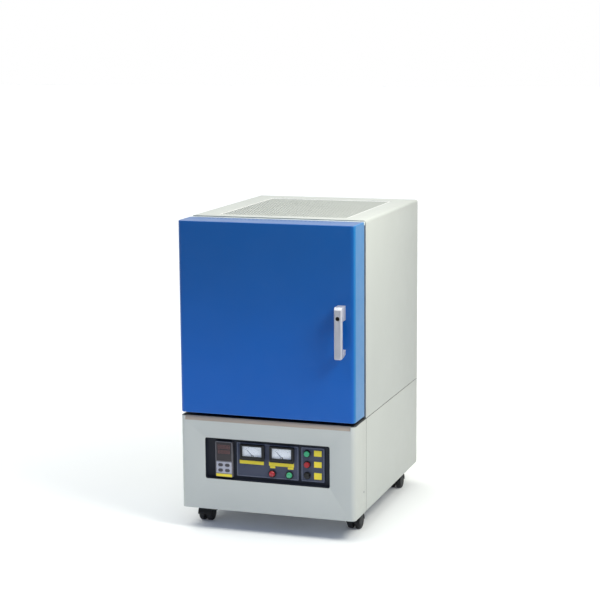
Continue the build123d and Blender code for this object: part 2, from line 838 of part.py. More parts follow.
with BuildPart() as switch_plate:
    with BuildSketch(facing(plate_y)):
        with Locations((switch_plate_x, plate_mid)):
            RectangleRounded(switch_plate_width, plate_height, plate_thickness)
        with Locations(*button_places):
            Circle(switch_body + gap, mode=Mode.SUBTRACT)
    extrude(amount=-plate_thickness)
switch_plate.part.label = "switch_plate"
export_step(switch_plate.part, "parts/switch_plate.step")

controller_y = tray_y - controller_bezel
window_z = controller_mid + controller_height / 2 - keypad_border - controller_window_height / 2
keypad_z = window_z - controller_window_height / 2 - keypad_border - keypad_height / 2
recess = 1.5

with BuildPart() as controller_case:
    with BuildSketch(facing(controller_y)):
        with Locations((controller_x, controller_mid)):
            RectangleRounded(controller_width, controller_height, 2)
    extrude(amount=-controller_bezel)
    fillet(faces().sort_by(Axis.Y)[0].edges(), 1)
    with BuildSketch(facing(tray_y)):
        with Locations((controller_x, controller_mid)):
            Rectangle(controller_body, 2 * controller_body)
    extrude(amount=-controller_length)
    with BuildSketch(facing(controller_y)):
        with Locations((controller_x, window_z)):
            Rectangle(controller_width - 2 * keypad_border, controller_window_height)
        with Locations((controller_x, keypad_z)):
            Rectangle(controller_width - 2 * keypad_border, keypad_height)
    extrude(amount=-recess, mode=Mode.SUBTRACT)
controller_case.part.label = "controller_case"
export_step(controller_case.part, "parts/controller_case.step")

with BuildPart() as controller_window:
    with BuildSketch(facing(controller_y + gap)):
        with Locations((controller_x, window_z)):
            Rectangle(controller_width - 2 * keypad_border - gap, controller_window_height - gap)
    extrude(amount=gap - recess)
controller_window.part.label = "controller_window"
export_step(controller_window.part, "parts/controller_window.step")

with BuildPart() as controller_keypad:
    with BuildSketch(facing(controller_y + gap)):
        with Locations((controller_x, keypad_z)):
            Rectangle(controller_width - 2 * keypad_border - gap, keypad_height - gap)
    extrude(amount=gap - recess)
    with BuildSketch(facing(controller_y + gap)):
        with Locations((controller_x, keypad_z)):
            with GridLocations(1.5 * key_width, 1.9 * key_height, 2, 2):
                Ellipse(key_width / 2, key_height / 2)
    extrude(amount=key_rise)
controller_keypad.part.label = "controller_keypad"
export_step(controller_keypad.part, "parts/controller_keypad.step")

meter_y = plate_y - meter_bezel
window_size = (meter_width - 2 * meter_border, meter_height - 2 * meter_border + 1)
dial_y = meter_y + dial_depth

with BuildPart() as meter_cases:
    for x in meter_xs:
        with BuildSketch(facing(meter_y)):
            with Locations((x, meter_z)):
                RectangleRounded(meter_width, meter_height, 2)
        extrude(amount=-meter_bezel)
        with BuildSketch(facing(plate_y)):
            with Locations((x, meter_z)):
                Circle(meter_barrel)
        extrude(amount=-meter_length)
        with BuildSketch(facing(meter_y)):
            with Locations((x, meter_z)):
                Rectangle(*window_size)
        extrude(amount=-dial_depth - 1, mode=Mode.SUBTRACT)
meter_cases.part.label = "meter_cases"
export_step(meter_cases.part, "parts/meter_cases.step")

with BuildPart() as meter_dials:
    with BuildSketch(facing(dial_y)):
        with Locations(*[(x, meter_z) for x in meter_xs]):
            Rectangle(window_size[0] - gap, window_size[1] - gap)
    extrude(amount=-1)
    pivot_z = meter_z - window_size[1] / 2 + pointer_hub + 1
    with BuildSketch(facing(dial_y)):
        with Locations(*[(x, pivot_z) for x in meter_xs]):
            Circle(pointer_pivot)
    extrude(amount=dial_depth - window_thickness - gap)
meter_dials.part.label = "meter_dials"
export_step(meter_dials.part, "parts/meter_dials.step")

with BuildPart() as meter_windows:
    with BuildSketch(facing(meter_y)):
        with Locations(*[(x, meter_z) for x in meter_xs]):
            Rectangle(window_size[0] - gap, window_size[1] - gap)
    extrude(amount=-window_thickness)
meter_windows.part.label = "meter_windows"
export_step(meter_windows.part, "parts/meter_windows.step")

for x, name in zip(meter_xs, ("left_pointer", "right_pointer")):
    with BuildPart() as pointer:
        with BuildSketch(facing(dial_y - gap)):
            with Locations((x, pivot_z)):
                Circle(pointer_hub)
            with Locations(Location((x, pivot_z), pointer_rest)):
                Rectangle(pointer_width, pointer_length, align=(Align.CENTER, Align.MIN))
            with Locations((x, pivot_z)):
                Circle(pointer_pivot + running, mode=Mode.SUBTRACT)
        extrude(amount=pointer_thickness)
    pointer.part.label = name
    export_step(pointer.part, f"parts/{name}.step")

with BuildPart() as panel_bezels:
    for places, outer, inner in (
        (lamp_places, bezel_radius, lamp_radius),
        (button_places, button_bezel_radius, button_radius),
    ):
        with BuildSketch(facing(plate_y)):
            with Locations(*places):
                Circle(outer)
        extrude(amount=bezel_height)
        with BuildSketch(facing(plate_y)):
            with Locations(*places):
                Circle(switch_body)
        extrude(amount=-switch_length)
        with BuildSketch(facing(plate_y - bezel_height)):
            with Locations(*places):
                Circle(inner + gap)
        extrude(amount=-bezel_height - button_travel - 2 * plate_thickness, mode=Mode.SUBTRACT)
panel_bezels.part.label = "panel_bezels"
export_step(panel_bezels.part, "parts/panel_bezels.step")

for (x, z), name in zip(lamp_places, ("red_lamp_lens", "green_lamp_lens")):
    with BuildPart() as lens:
        with BuildSketch(facing(plate_y - bezel_height)):
            with Locations((x, z)):
                Circle(lamp_radius)
        extrude(amount=lens_height)
        fillet(faces().sort_by(Axis.Y)[0].edges(), lens_height - gap)
        with BuildSketch(facing(plate_y - bezel_height)):
            with Locations((x, z)):
                Circle(lamp_radius)
        extrude(amount=gap - bezel_height - button_travel - 2 * plate_thickness)
    lens.part.label = name
    export_step(lens.part, f"parts/{name}.step")

for z, name in zip(button_zs, ("green_button", "red_button", "black_button")):
    with BuildPart() as button:
        with BuildSketch(facing(plate_y - bezel_height - button_proud)):
            with Locations((button_x, z)):
                Circle(button_radius)
        extrude(amount=gap - button_proud - bezel_height - 2 * plate_thickness)
        fillet(faces().sort_by(Axis.Y)[0].edges(), 1)
    button.part.label = name
    export_step(button.part, f"parts/{name}.step")

# ---------------------------------------------------------------- electrical base

floor_top = base_z + sheet
core_x, core_y, core_z = transformer_core
coil_half = (core_x - 2 * transformer_window) / 2

with BuildPart() as transformer:
    transformer_mid = front + transformer_y
    block(
        (-core_x / 2, core_x / 2),
        (transformer_mid - core_y / 2, transformer_mid + core_y / 2),
        (floor_top, floor_top + core_z),
    )
    with BuildSketch(facing(transformer_mid - core_y / 2)):
        with Locations((0, floor_top + core_z / 2)):
            Rectangle(coil_half + 2 * transformer_window, core_z - 2 * transformer_window)
            Rectangle(coil_half, core_z, mode=Mode.SUBTRACT)
    extrude(amount=-core_y, mode=Mode.SUBTRACT)
    block(
        (-coil_half / 2 - coil_wall, coil_half / 2 + coil_wall),
        (transformer_mid - core_y / 2 - coil_wall, transformer_mid + core_y / 2 + coil_wall),
        (floor_top + transformer_window, floor_top + core_z - transformer_window),
    )
    fillet(edges().filter_by(Axis.Z).group_by(Axis.Y)[0], coil_wall / 2)
    fillet(edges().filter_by(Axis.Z).group_by(Axis.Y)[-1], coil_wall / 2)
transformer.part.label = "transformer"
export_step(transformer.part, "parts/transformer.step")

with BuildPart() as power_module:
    sink_mid = front + sink_y
    block(
        (sink_x - sink_width / 2, sink_x + sink_width / 2),
        (sink_mid - sink_length / 2, sink_mid + sink_length / 2),
        (floor_top + sink_height - sink_base, floor_top + sink_height),
    )
    fin_pitch = (sink_width - fin_thickness) / (sink_fins - 1)
    with BuildSketch(Plane.XY.offset(floor_top)):
        with Locations((sink_x, sink_mid)):
            with GridLocations(fin_pitch, 1, sink_fins, 1):
                Rectangle(fin_thickness, sink_length)
    extrude(amount=sink_height - sink_base)
    block(
        (sink_x - module_size / 2, sink_x + module_size / 2),
        (sink_mid - module_size / 2, sink_mid + module_size / 2),
        (floor_top + sink_height, floor_top + sink_height + module_height),
    )
power_module.part.label = "power_module"
export_step(power_module.part, "parts/power_module.step")

fan_back = back - sheet
fan_front = fan_back - fan_depth

with BuildPart() as fan_frame:
    block(
        (fan_x - fan_size / 2, fan_x + fan_size / 2),
        (fan_front, fan_back),
        (fan_z - fan_size / 2, fan_z + fan_size / 2),
    )
    with BuildSketch(facing(fan_front)):
        with Locations((fan_x, fan_z)):
            Circle(fan_blade_radius + 2)
            Circle(fan_hub - 1, mode=Mode.SUBTRACT)
    extrude(amount=-fan_depth, mode=Mode.SUBTRACT)
    with BuildSketch(facing(fan_front)):
        with Locations((fan_x, fan_z)):
            Circle(fan_hub - 1)
    extrude(amount=-fan_depth + fan_depth / 4, mode=Mode.SUBTRACT)
    with BuildSketch(facing(fan_back - 4)):
        with Locations((fan_x, fan_z)):
            Rectangle(2 * fan_blade_radius + 6, fan_shaft)
            Rectangle(fan_shaft, 2 * fan_blade_radius + 6)
    extrude(amount=-4)
    with BuildSketch(facing(fan_front + 4)):
        with Locations((fan_x, fan_z)):
            Circle(fan_shaft / 2)
    extrude(amount=-fan_depth + 6)
fan_frame.part.label = "fan_frame"
export_step(fan_frame.part, "parts/fan_frame.step")

with BuildPart() as fan_rotor:
    rotor_front = fan_front + 5
    rotor_depth = fan_depth * 3 / 4 - 7
    with BuildSketch(facing(rotor_front)):
        with Locations((fan_x, fan_z)):
            Circle(fan_hub - 2)
    extrude(amount=-rotor_depth)
    for turn in range(fan_blades):
        blade = Location((fan_x, rotor_front + rotor_depth / 2, fan_z), (0, 360 / fan_blades * turn, 0))
        with Locations(blade * Location((0, 0, (fan_hub + fan_blade_radius) / 2 - 3), (0, 0, fan_blade_tilt))):
            Box(rotor_depth, fan_blade_thickness, fan_blade_radius - fan_hub + 5)
    with BuildSketch(facing(rotor_front)):
        with Locations((fan_x, fan_z)):
            Circle(fan_shaft / 2 + running)
    extrude(amount=-rotor_depth, mode=Mode.SUBTRACT)
fan_rotor.part.label = "fan_rotor"
export_step(fan_rotor.part, "parts/fan_rotor.step")

with BuildPart() as cable_gland:
    with BuildSketch(facing(back + gland_reach)):
        with Locations((gland_x, gland_z)):
            Circle(gland_thread)
    extrude(amount=gland_reach + sheet + gland_inside)
    with BuildSketch(facing(back)):
        with Locations((gland_x, gland_z)):
            RegularPolygon(gland_nut, 6)
    extrude(amount=-gland_nut_thickness)
    with BuildSketch(facing(back - sheet)):
        with Locations((gland_x, gland_z)):
            RegularPolygon(gland_nut, 6)
    extrude(amount=gland_nut_thickness)
    fillet(edges().group_by(Axis.Y)[-1], gland_thread / 4)
    with BuildSketch(facing(back + gland_reach)):
        with Locations((gland_x, gland_z)):
            Circle(gland_bore)
    extrude(amount=gland_reach + sheet + gland_inside, mode=Mode.SUBTRACT)
cable_gland.part.label = "cable_gland"
export_step(cable_gland.part, "parts/cable_gland.step")

# ---------------------------------------------------------------- casters

caster_x = width / 2 - caster_x_inset
caster_ys = (front + caster_y_inset, back - caster_y_inset)
caster_places = [(-caster_x, caster_ys[0]), (caster_x, caster_ys[0]), (-caster_x, caster_ys[1]), (caster_x, caster_ys[1])]
caster_names = ("front_left", "front_right", "rear_left", "rear_right")
fork_top = caster_height - caster_plate_thickness - gap
wheel_room = wheel_radius + fork_side_gap
wheel_inner = spine_half + fork_side_gap
hood_radius = wheel_room + fork_wall
hood_half = wheel_inner + wheel_width
ring_z = fork_top - king_reach / 2

with BuildPart() as caster_plates:
    with BuildSketch(Plane.XY.offset(caster_height)):
        with Locations(*caster_places):
            RectangleRounded(caster_plate, caster_plate, 4)
    extrude(amount=-caster_plate_thickness)
    with BuildSketch(Plane.XY.offset(caster_height)):
        with Locations(*caster_places):
            Circle(king_pin)
    extrude(amount=-caster_plate_thickness - gap - king_reach)
    with BuildSketch(Plane.XY.offset(ring_z)):
        with Locations(*caster_places):
            Circle(king_pin + king_ring)
    extrude(amount=-king_ring_height)
caster_plates.part.label = "caster_plates"
export_step(caster_plates.part, "parts/caster_plates.step")

for (x, y), heading, name in zip(caster_places, caster_headings, caster_names):
    swivel = Plane(Location((x, y, 0), (0, 0, heading)))
    # through the middle of the caster: local x trails away from the swivel, local y is Z
    across = Plane(origin=swivel.origin, x_dir=swivel.x_dir, z_dir=-swivel.y_dir)
    with BuildPart() as fork:
        with BuildSketch(across):
            with Locations((wheel_trail, wheel_radius)):
                Circle(axle_boss)
            with Locations((0, fork_top)):
                Rectangle(2 * fork_shoulder, fork_wall, align=(Align.CENTER, Align.MAX))
            make_hull()
        extrude(amount=neck_half, both=True)
        with BuildSketch(across):
            with Locations((wheel_trail, wheel_radius)):
                Circle(hood_radius)
                Rectangle(
                    2 * hood_radius,
                    hood_radius,
                    align=(Align.CENTER, Align.MAX),
                    mode=Mode.SUBTRACT,
                )
        extrude(amount=hood_half, both=True)
        for side in (-1, 1):
            with BuildSketch(across.offset(side * spine_half)):
                with Locations((wheel_trail, wheel_radius)):
                    Circle(wheel_room)
            extrude(amount=side * (hood_half + gap), mode=Mode.SUBTRACT)
        with BuildSketch(swivel.offset(fork_top)):
            Circle(fork_disc)
        extrude(amount=-fork_wall)
        with BuildSketch(across):
            with Locations((wheel_trail, wheel_radius)):
                Circle(axle_radius + running)
        extrude(amount=neck_half, both=True, mode=Mode.SUBTRACT)
        with BuildSketch(swivel.offset(fork_top)):
            Circle(king_pin + running)
        extrude(amount=-king_reach - gap, mode=Mode.SUBTRACT)
        with BuildSketch(swivel.offset(ring_z + gap)):
            Circle(king_pin + king_ring + gap)
        extrude(amount=-king_ring_height - 2 * gap, mode=Mode.SUBTRACT)
    fork.part.label = f"{name}_fork"
    export_step(fork.part, f"parts/{name}_fork.step")

    with BuildPart() as wheel:
        for side in (-1, 1):
            with BuildSketch(across.offset(side * wheel_inner)):
                with Locations((wheel_trail, wheel_radius)):
                    Circle(wheel_radius)
            extrude(amount=side * wheel_width)
        rims = edges().sort_by(lambda rim: abs(across.to_local_coords(rim.center()).Z))
        fillet(rims[-2:], cover_round)
        tread = edges().sort_by(lambda rim: abs(across.to_local_coords(rim.center()).Z))
        fillet(tread[:2], tyre_round)
        with BuildSketch(across):
            with Locations((wheel_trail, wheel_radius)):
                Circle(axle_radius)
        extrude(amount=wheel_inner + tyre_round, both=True)
    wheel.part.label = f"{name}_wheel"
    export_step(wheel.part, f"parts/{name}_wheel.step")

# ---------------------------------------------------------------- screws

with BuildPart() as screws:
    side_spot = (seam_y - side_screw_back, base_z + side_screw_rise)
    for side in (-1, 1):
        skin = side * (width / 2 - screw_recess)
        for radius, length in ((screw_head, sheet), (screw_head / 2, screw_length)):
            with BuildSketch(Plane.YZ.offset(skin)):
                with Locations(side_spot):
                    Circle(radius)
            extrude(amount=-side * length)
    for middle, pitch, rows in (
        ((base_z + deck_z - sheet) / 2, base_screw_pitch, 2),
        (frame_mid, body_screw_pitch, 3),
    ):
        for radius, length in ((screw_head, sheet), (screw_head / 2, screw_length)):
            with BuildSketch(facing(back - screw_recess)):
                with Locations((0, middle)):
                    with GridLocations(2 * (inside - rear_screw_inset), pitch, 2, rows):
                        Circle(radius)
            extrude(amount=length)
    with BuildSketch(Plane.XY.offset(caster_height - caster_plate_thickness)):
        for x, y in caster_places:
            with Locations((x, y)):
                with GridLocations(plate_bolts, plate_bolts, 2, 2):
                    RegularPolygon(bolt_head, 6)
    extrude(amount=-bolt_head / 2)
screws.part.label = "screws"
export_step(screws.part, "parts/screws.step")
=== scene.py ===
"""Muffle furnace on casters: finishes for the solid model's parts, and the fine pieces they leave plain."""

import math

import bmesh
import bpy
from mathutils import Matrix, Vector


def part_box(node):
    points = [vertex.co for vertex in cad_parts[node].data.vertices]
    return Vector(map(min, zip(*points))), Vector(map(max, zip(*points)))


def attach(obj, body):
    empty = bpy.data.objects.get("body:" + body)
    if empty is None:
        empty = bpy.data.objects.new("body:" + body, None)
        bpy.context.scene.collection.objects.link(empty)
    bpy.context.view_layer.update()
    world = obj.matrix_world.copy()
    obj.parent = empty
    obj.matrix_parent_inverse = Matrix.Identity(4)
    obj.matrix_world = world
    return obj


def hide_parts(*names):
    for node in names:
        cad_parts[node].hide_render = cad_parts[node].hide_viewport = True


bl_info = {
    "name": "Muffle furnace",
    "version": (1, 0, 0),
    "blender": (4, 5, 0),
    "location": "View3D > Sidebar > Furnace",
    "description": "Dresses the solid model of a muffle furnace on casters",
    "category": "Object",
}

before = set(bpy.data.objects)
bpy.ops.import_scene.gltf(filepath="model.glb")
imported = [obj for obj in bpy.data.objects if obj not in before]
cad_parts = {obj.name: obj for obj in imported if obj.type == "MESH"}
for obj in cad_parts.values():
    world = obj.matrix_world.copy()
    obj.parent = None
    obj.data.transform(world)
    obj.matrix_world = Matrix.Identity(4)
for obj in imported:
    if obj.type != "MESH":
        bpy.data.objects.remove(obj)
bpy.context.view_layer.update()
MM = 0.001
MATH, VECTOR_MATH = "ShaderNodeMath", "ShaderNodeVectorMath"
BANDS_PER_UNIT = 6.28  # a wave texture's bands along one unit at scale 1
WELD = 0.02 * MM  # points nearer than this are made one
SEAM = 0.004 * MM  # and this joins a solid's loose triangles


# ---------------------------------------------------------------- small helpers


def linear(code):
    """A hex colour such as 1E5096, given as it looks on screen, in linear light."""
    channels = [int(code[i : i + 2], 16) / 255 for i in (0, 2, 4)]
    return [c / 12.92 if c <= 0.04045 else ((c + 0.055) / 1.055) ** 2.4 for c in channels]


def rgba(colour):
    return (*colour[:3], 1.0)


def give(tree, node, links):
    """Sets a node's sockets, by name or number, to a value, to another node or to one of its outputs."""
    for name, value in links.items():
        if isinstance(value, bpy.types.Node):
            value = next(output for output in value.outputs if output.enabled)
        if isinstance(value, bpy.types.NodeSocket):
            tree.links.new(value, node.inputs[name])
        else:
            node.inputs[name].default_value = value
    return node


def add(tree, kind, links=None, **settings):
    """Adds a node with its settings and what its sockets take."""
    made = tree.nodes.new(kind)
    for name, value in settings.items():
        setattr(made, name, value)
    return give(tree, made, links or {})


def new_material(name):
    """A material with a Principled shader: the material, its tree, the shader and object coordinates."""
    made = bpy.data.materials.new(name)
    made.use_nodes = True
    tree = made.node_tree
    tree.nodes.clear()
    shader = add(tree, "ShaderNodeBsdfPrincipled")
    add(tree, "ShaderNodeOutputMaterial", {"Surface": shader})
    return made, tree, shader, add(tree, "ShaderNodeTexCoord").outputs["Object"]


def grain(tree, place, size, detail=2.0, stretch=(1, 1, 1)):
    """Noise whose lumps are about size millimetres, as a factor."""
    spread = add(tree, "ShaderNodeMapping", {"Vector": place, "Scale": [s / (size * MM) for s in stretch]})
    return add(tree, "ShaderNodeTexNoise", {"Vector": spread, "Scale": 1.0, "Detail": detail})


def between(tree, factor, low, high):
    """A factor around a half stretched to run from low to high."""
    links = {"Value": factor, "From Min": 0.3, "From Max": 0.7, "To Min": low, "To Max": high}
    return add(tree, "ShaderNodeMapRange", links)


def ramp(tree, place, axis, start, end):
    """A factor that runs from 0 to 1 between two places along an axis, in millimetres."""
    along = add(tree, "ShaderNodeSeparateXYZ", {"Vector": place}).outputs[axis]
    links = {"Value": along, "From Min": start * MM, "From Max": end * MM}
    return add(tree, "ShaderNodeMapRange", links, interpolation_type="SMOOTHSTEP")


def shade(tree, factor, first, second):
    """Two colours, or what two nodes give, mixed by a factor."""
    first, second = (c if isinstance(c, bpy.types.Node) else rgba(c) for c in (first, second))
    return add(tree, "ShaderNodeMix", {0: factor, 6: first, 7: second}, data_type="RGBA")


def scaled(colour, amount):
    return [min(1.0, c * amount) for c in colour]


def tones(tree, factor, colour, low, high):
    """A colour that varies between two strengths of itself, by a factor around a half."""
    return shade(tree, between(tree, factor, 0, 1), scaled(colour, low), scaled(colour, high))


def relief(tree, height, depth, strength=1.0, under=None):
    """Bump of a height factor, depth millimetres deep, over another bump where one is given."""
    links = {"Height": height, "Distance": depth * MM, "Strength": strength}
    if under is not None:
        links["Normal"] = under
    return add(tree, "ShaderNodeBump", links)


def bands(tree, place, width, axis, distortion=0.0):
    """Parallel bands of a width in millimetres, as a factor."""
    links = {"Vector": place, "Scale": 1 / (width * MM) / BANDS_PER_UNIT, "Distortion": distortion}
    wave = add(tree, "ShaderNodeTexWave", links, wave_type="BANDS", bands_direction=axis)
    return wave.outputs["Fac"]


def finish_mesh(name, bm, material, body, smooth=None):
    """Turns a bmesh into a piece that rides on a body."""
    bmesh.ops.recalc_face_normals(bm, faces=bm.faces)
    mesh = bpy.data.meshes.new(name)
    bm.to_mesh(mesh)
    bm.free()
    piece = bpy.data.objects.new(name, mesh)
    bpy.context.scene.collection.objects.link(piece)
    mesh.materials.append(material)
    if smooth is not None:
        mesh.shade_smooth()
        mesh.set_sharp_from_angle(angle=math.radians(smooth))
    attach(piece, body)
    return piece


def span(node):
    """The low and high corner of a node's box, in millimetres."""
    return [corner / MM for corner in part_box(node)]


def prism(bm, section, start, end):
    """A bar along X with a section given as its y and z corners, in millimetres."""
    ends = [[bm.verts.new((x * MM, y * MM, z * MM)) for y, z in section] for x in (start, end)]
    count = len(section)
    for i in range(count):
        j = (i + 1) % count
        bm.faces.new((ends[0][i], ends[0][j], ends[1][j], ends[1][i]))
    bm.faces.new(ends[0][::-1])
    bm.faces.new(ends[1])


def plate(bm, x, z, y, width, height, thickness, corner=0.0, bevel=0.0):
    """A flat plate that faces -Y: its middle, front plane y, size and corner radius, in millimetres."""
    points = []
    steps = 4 if corner else 0
    half_w, half_h = width / 2 - corner, height / 2 - corner
    for quarter, (sx, sz) in enumerate(((1, 1), (-1, 1), (-1, -1), (1, -1))):
        for step in range(steps + 1):
            turn = math.radians(90 * (quarter + (step / steps if steps else 0)))
            points.append(
                (x + sx * half_w + corner * math.cos(turn), z + sz * half_h + corner * math.sin(turn))
            )
    front = [bm.verts.new((px * MM, y * MM, pz * MM)) for px, pz in points]
    face = bm.faces.new(front)
    grown = bmesh.ops.extrude_face_region(bm, geom=[face])
    moved = [v for v in grown["geom"] if isinstance(v, bmesh.types.BMVert)]
    bmesh.ops.translate(bm, verts=moved, vec=(0, thickness * MM, 0))
    if bevel:
        rim = [e for e in face.edges]
        bmesh.ops.bevel(bm, geom=rim, offset=bevel * MM, segments=2, profile=0.5, affect="EDGES")


# ---------------------------------------------------------------- settings


def colour(name, description, code):
    """A colour setting with its default as a hex colour."""
    return bpy.props.FloatVectorProperty(
        name=name, description=description, subtype="COLOR", default=linear(code), min=0, max=1
    )


def number(name, description, default, low, high, **more):
    """A number setting."""
    return bpy.props.FloatProperty(
        name=name, description=description, default=default, min=low, max=high, **more
    )


def length(*given):
    """A length setting, in metres."""
    return number(*given, unit="LENGTH")


class CabinetSettings(bpy.types.PropertyGroup):
    white: colour("White coat", "Warm off-white of the side sheets and the top", "BFC2BE")
    blue: colour("Blue coat", "Blue of the door", "02529A")
    coat_grain: number("Coat grain", "Size of the powder coat's orange peel, in millimetres", 2.5, 0.5, 10)


class PlateSettings(bpy.types.PropertyGroup):
    pitch: length("Hole pitch", "Distance between the holes of the perforated plate", 9.0 * MM, 0.003, 0.05)
    hole: number("Hole share", "Width of a hole as a share of the pitch", 0.66, 0.2, 0.9, subtype="FACTOR")
    thickness: length("Thickness", "Thickness of the perforated plate", 1.0 * MM, 0.0005, 0.005)
    rim: length("Rim", "Width of the unperforated edge", 3.0 * MM, 0.001, 0.03)


class PanelSettings(bpy.types.PropertyGroup):
    label: colour("Label plates", "Yellow of the blank label plates", "F2DC46")
    mark: colour("Scale marks", "Ink of the meters' scales", "3A4654")
    label_thickness: length("Label thickness", "Thickness of a label plate", 0.6 * MM, 0.0002, 0.003)
    marks: bpy.props.IntProperty(
        name="Marks", description="How many marks a meter's scale has", default=21, min=3, max=101
    )
    # the pale lines are painted highlights along the plates' edges
    line: length("Outline width", "Width of the pale lines on the panel's plates", 1.1 * MM, 0.0002, 0.005)


class StageSettings(bpy.types.PropertyGroup):
    floor: colour("Floor", "Colour of the floor", "F6F8FA")
    lift: number(
        "Floor lift", "How much whiter the floor looks than its light makes it",
        0.05, 0, 1, subtype="FACTOR",
    )
    key: number("Key lamp", "Strength of the large soft lamp", 2.1, 0, 10)
    key_spread: number(
        "Key spread", "Width of the soft lamp, seen from the furnace",
        math.radians(70), 0, math.pi, unit="ROTATION",
    )
    surround: bpy.props.FloatVectorProperty(
        name="Surround", description="Light of the room from above, behind and beside the furnace",
        subtype="COLOR", default=(0.41, 0.415, 0.38), min=0, max=2,
    )
    front: bpy.props.FloatVectorProperty(
        name="Front light", description="Light of the room in front of the furnace",
        subtype="COLOR", default=(0.148, 0.235, 0.45), min=0, max=2,
    )
    soft_box: number("Soft box", "Power of the lamp above the right side, in watts", 30.0, 0, 100)
    front_dim: number(
        "Dim front", "How bright the room in front of the furnace looks in its gloss",
        0.05, 0, 1, subtype="FACTOR",
    )


class FurnaceSettings(bpy.types.PropertyGroup):
    cabinet: bpy.props.PointerProperty(type=CabinetSettings)
    plate: bpy.props.PointerProperty(type=PlateSettings)
    panel: bpy.props.PointerProperty(type=PanelSettings)
    stage: bpy.props.PointerProperty(type=StageSettings)


# ---------------------------------------------------------------- finishes


def powder_coat(name, colour, size, roughness=0.42, gloss=0.3, peel_depth=0.012, painted_light_tones=(), joints=()):
    """Powder-coated steel: baked polyester, so an even colour with a fine orange peel and soft reflections.

    Each painted-light tone given is another tone of the coat, with its axis and the millimetres between
    which it comes in.
    Each joint given gets a line of painted shade for the shade in its seam: an axis, the joint's place and
    half the line's width.
    """
    made, tree, shader, place = new_material(name)
    tone = colour
    # painted light and shade: each given tone comes in along its axis
    for other, axis, start, end in painted_light_tones:
        tone = shade(tree, ramp(tree, place, axis, start, end), tone, other)
    # painted shade: a near-black line along each joint's seam
    for axis, middle, reach in joints:
        along = add(tree, "ShaderNodeSeparateXYZ", {"Vector": place}).outputs[axis]
        line = add(tree, MATH, {0: along, 1: middle * MM, 2: reach * MM}, operation="COMPARE")
        tone = shade(tree, line, tone, scaled(colour, 0.12))
    cloud = between(tree, grain(tree, place, 160), 0.975, 1.015)
    give(tree, shader, {
        "Base Color": add(tree, VECTOR_MATH, {0: tone, "Scale": cloud}, operation="SCALE"),
        "Roughness": between(tree, grain(tree, place, 40), roughness - 0.03, roughness + 0.03),
        "Normal": relief(tree, grain(tree, place, size, 1.0), peel_depth, 0.25),
        "Specular IOR Level": gloss,
    })
    return made


def plated_steel(name, colour, roughness=0.36):
    """Zinc-plated steel: a cloudy bright grey metal with faint rolling lines."""
    made, tree, shader, place = new_material(name)
    lines = grain(tree, place, 1.2, 2.0, (1, 1, 0.04))
    give(tree, shader, {
        "Base Color": tones(tree, grain(tree, place, 14, 3.0), colour, 0.86, 1.06),
        "Roughness": between(tree, lines, roughness - 0.07, roughness + 0.09),
        "Normal": relief(tree, lines, 0.02, 0.4),
        "Metallic": 1.0,
    })
    return made


def die_cast(name, colour, roughness=0.36, metal=0.35):
    """Die-cast zinc under satin silver lacquer: pale on every side, with a soft wide highlight."""
    made, tree, shader, place = new_material(name)
    skin = grain(tree, place, 1.5, 3.0)
    give(tree, shader, {
        "Base Color": tones(tree, grain(tree, place, 22), colour, 0.95, 1.03),
        "Roughness": between(tree, skin, roughness - 0.05, roughness + 0.07),
        "Normal": relief(tree, skin, 0.02, 0.2),
        "Metallic": metal,
    })
    return made


def fibre(name, colour, size):
    """Vacuum-formed ceramic fibre board: chalky and matt, with short matted fibres and small pits."""
    made, tree, shader, place = new_material(name)
    pits = add(tree, "ShaderNodeTexVoronoi", {"Vector": place, "Scale": 1 / (7 * MM)}, feature="F1")
    mat = grain(tree, place, size, 6.0, (1, 1, 0.5))
    give(tree, shader, {
        "Base Color": tones(tree, grain(tree, place, 26, 4.0), colour, 0.93, 1.02),
        "Roughness": 0.95,
        "Specular IOR Level": 0.2,
        "Normal": relief(tree, mat, 0.5, 0.8, relief(tree, pits, 0.25, 0.5)),
    })
    return made


def woven_rope(name, colour, strand):
    """Braided glass-fibre rope: crossing strands with a dull sheen."""
    made, tree, shader, place = new_material(name)
    waves = []
    for turn in (45, -45):
        turned = add(tree, "ShaderNodeMapping", {"Vector": place, "Rotation": (0, math.radians(turn), 0)})
        waves.append(bands(tree, turned, strand, "X"))
    braid = add(tree, MATH, {0: waves[0], 1: waves[1]}, operation="MAXIMUM")
    give(tree, shader, {
        "Base Color": shade(tree, braid, scaled(colour, 0.72), colour),
        "Normal": relief(tree, braid, 0.8, 0.9),
        "Roughness": 0.9,
        "Sheen Weight": 0.3,
    })
    return made


def moulded(name, colour, roughness=0.5, grain_size=0.8, depth=0.03):
    """Moulded plastic: an even colour under the fine spark texture of its mould."""
    made, tree, shader, place = new_material(name)
    spark = grain(tree, place, grain_size, 2.0)
    give(tree, shader, {
        "Base Color": tones(tree, grain(tree, place, 18), colour, 0.93, 1.05),
        "Roughness": between(tree, spark, roughness - 0.05, roughness + 0.06),
        "Normal": relief(tree, spark, depth, 0.3),
    })
    return made


def lens(name, colour):
    """Ribbed polycarbonate lamp lens: light goes into the coloured plastic, and fine rings break it up."""
    made, tree, shader, place = new_material(name)
    rings = grain(tree, place, 1.6, 1.0)
    give(tree, shader, {
        "Base Color": tones(tree, rings, colour, 0.8, 1.15),
        "Normal": relief(tree, rings, 0.15, 0.4),
        "Roughness": 0.22,
        "Subsurface Weight": 0.2,
        "Subsurface Scale": 0.003,
        "Coat Weight": 0.4,
        "Coat Roughness": 0.08,
    })
    return made


def clear_plastic(name, colour, alpha, roughness=0.06):
    """Clear acrylic window: see-through, with the room's light on its face and a few fine scuffs."""
    made, tree, shader, place = new_material(name)
    scuff = grain(tree, place, 5, 5.0, (1, 1, 0.2))
    give(tree, shader, {
        "Base Color": tones(tree, scuff, colour, 0.97, 1.0),
        "Roughness": between(tree, scuff, roughness, roughness + 0.06),
        "Alpha": alpha,
        "Specular IOR Level": 0.5,
    })
    return made


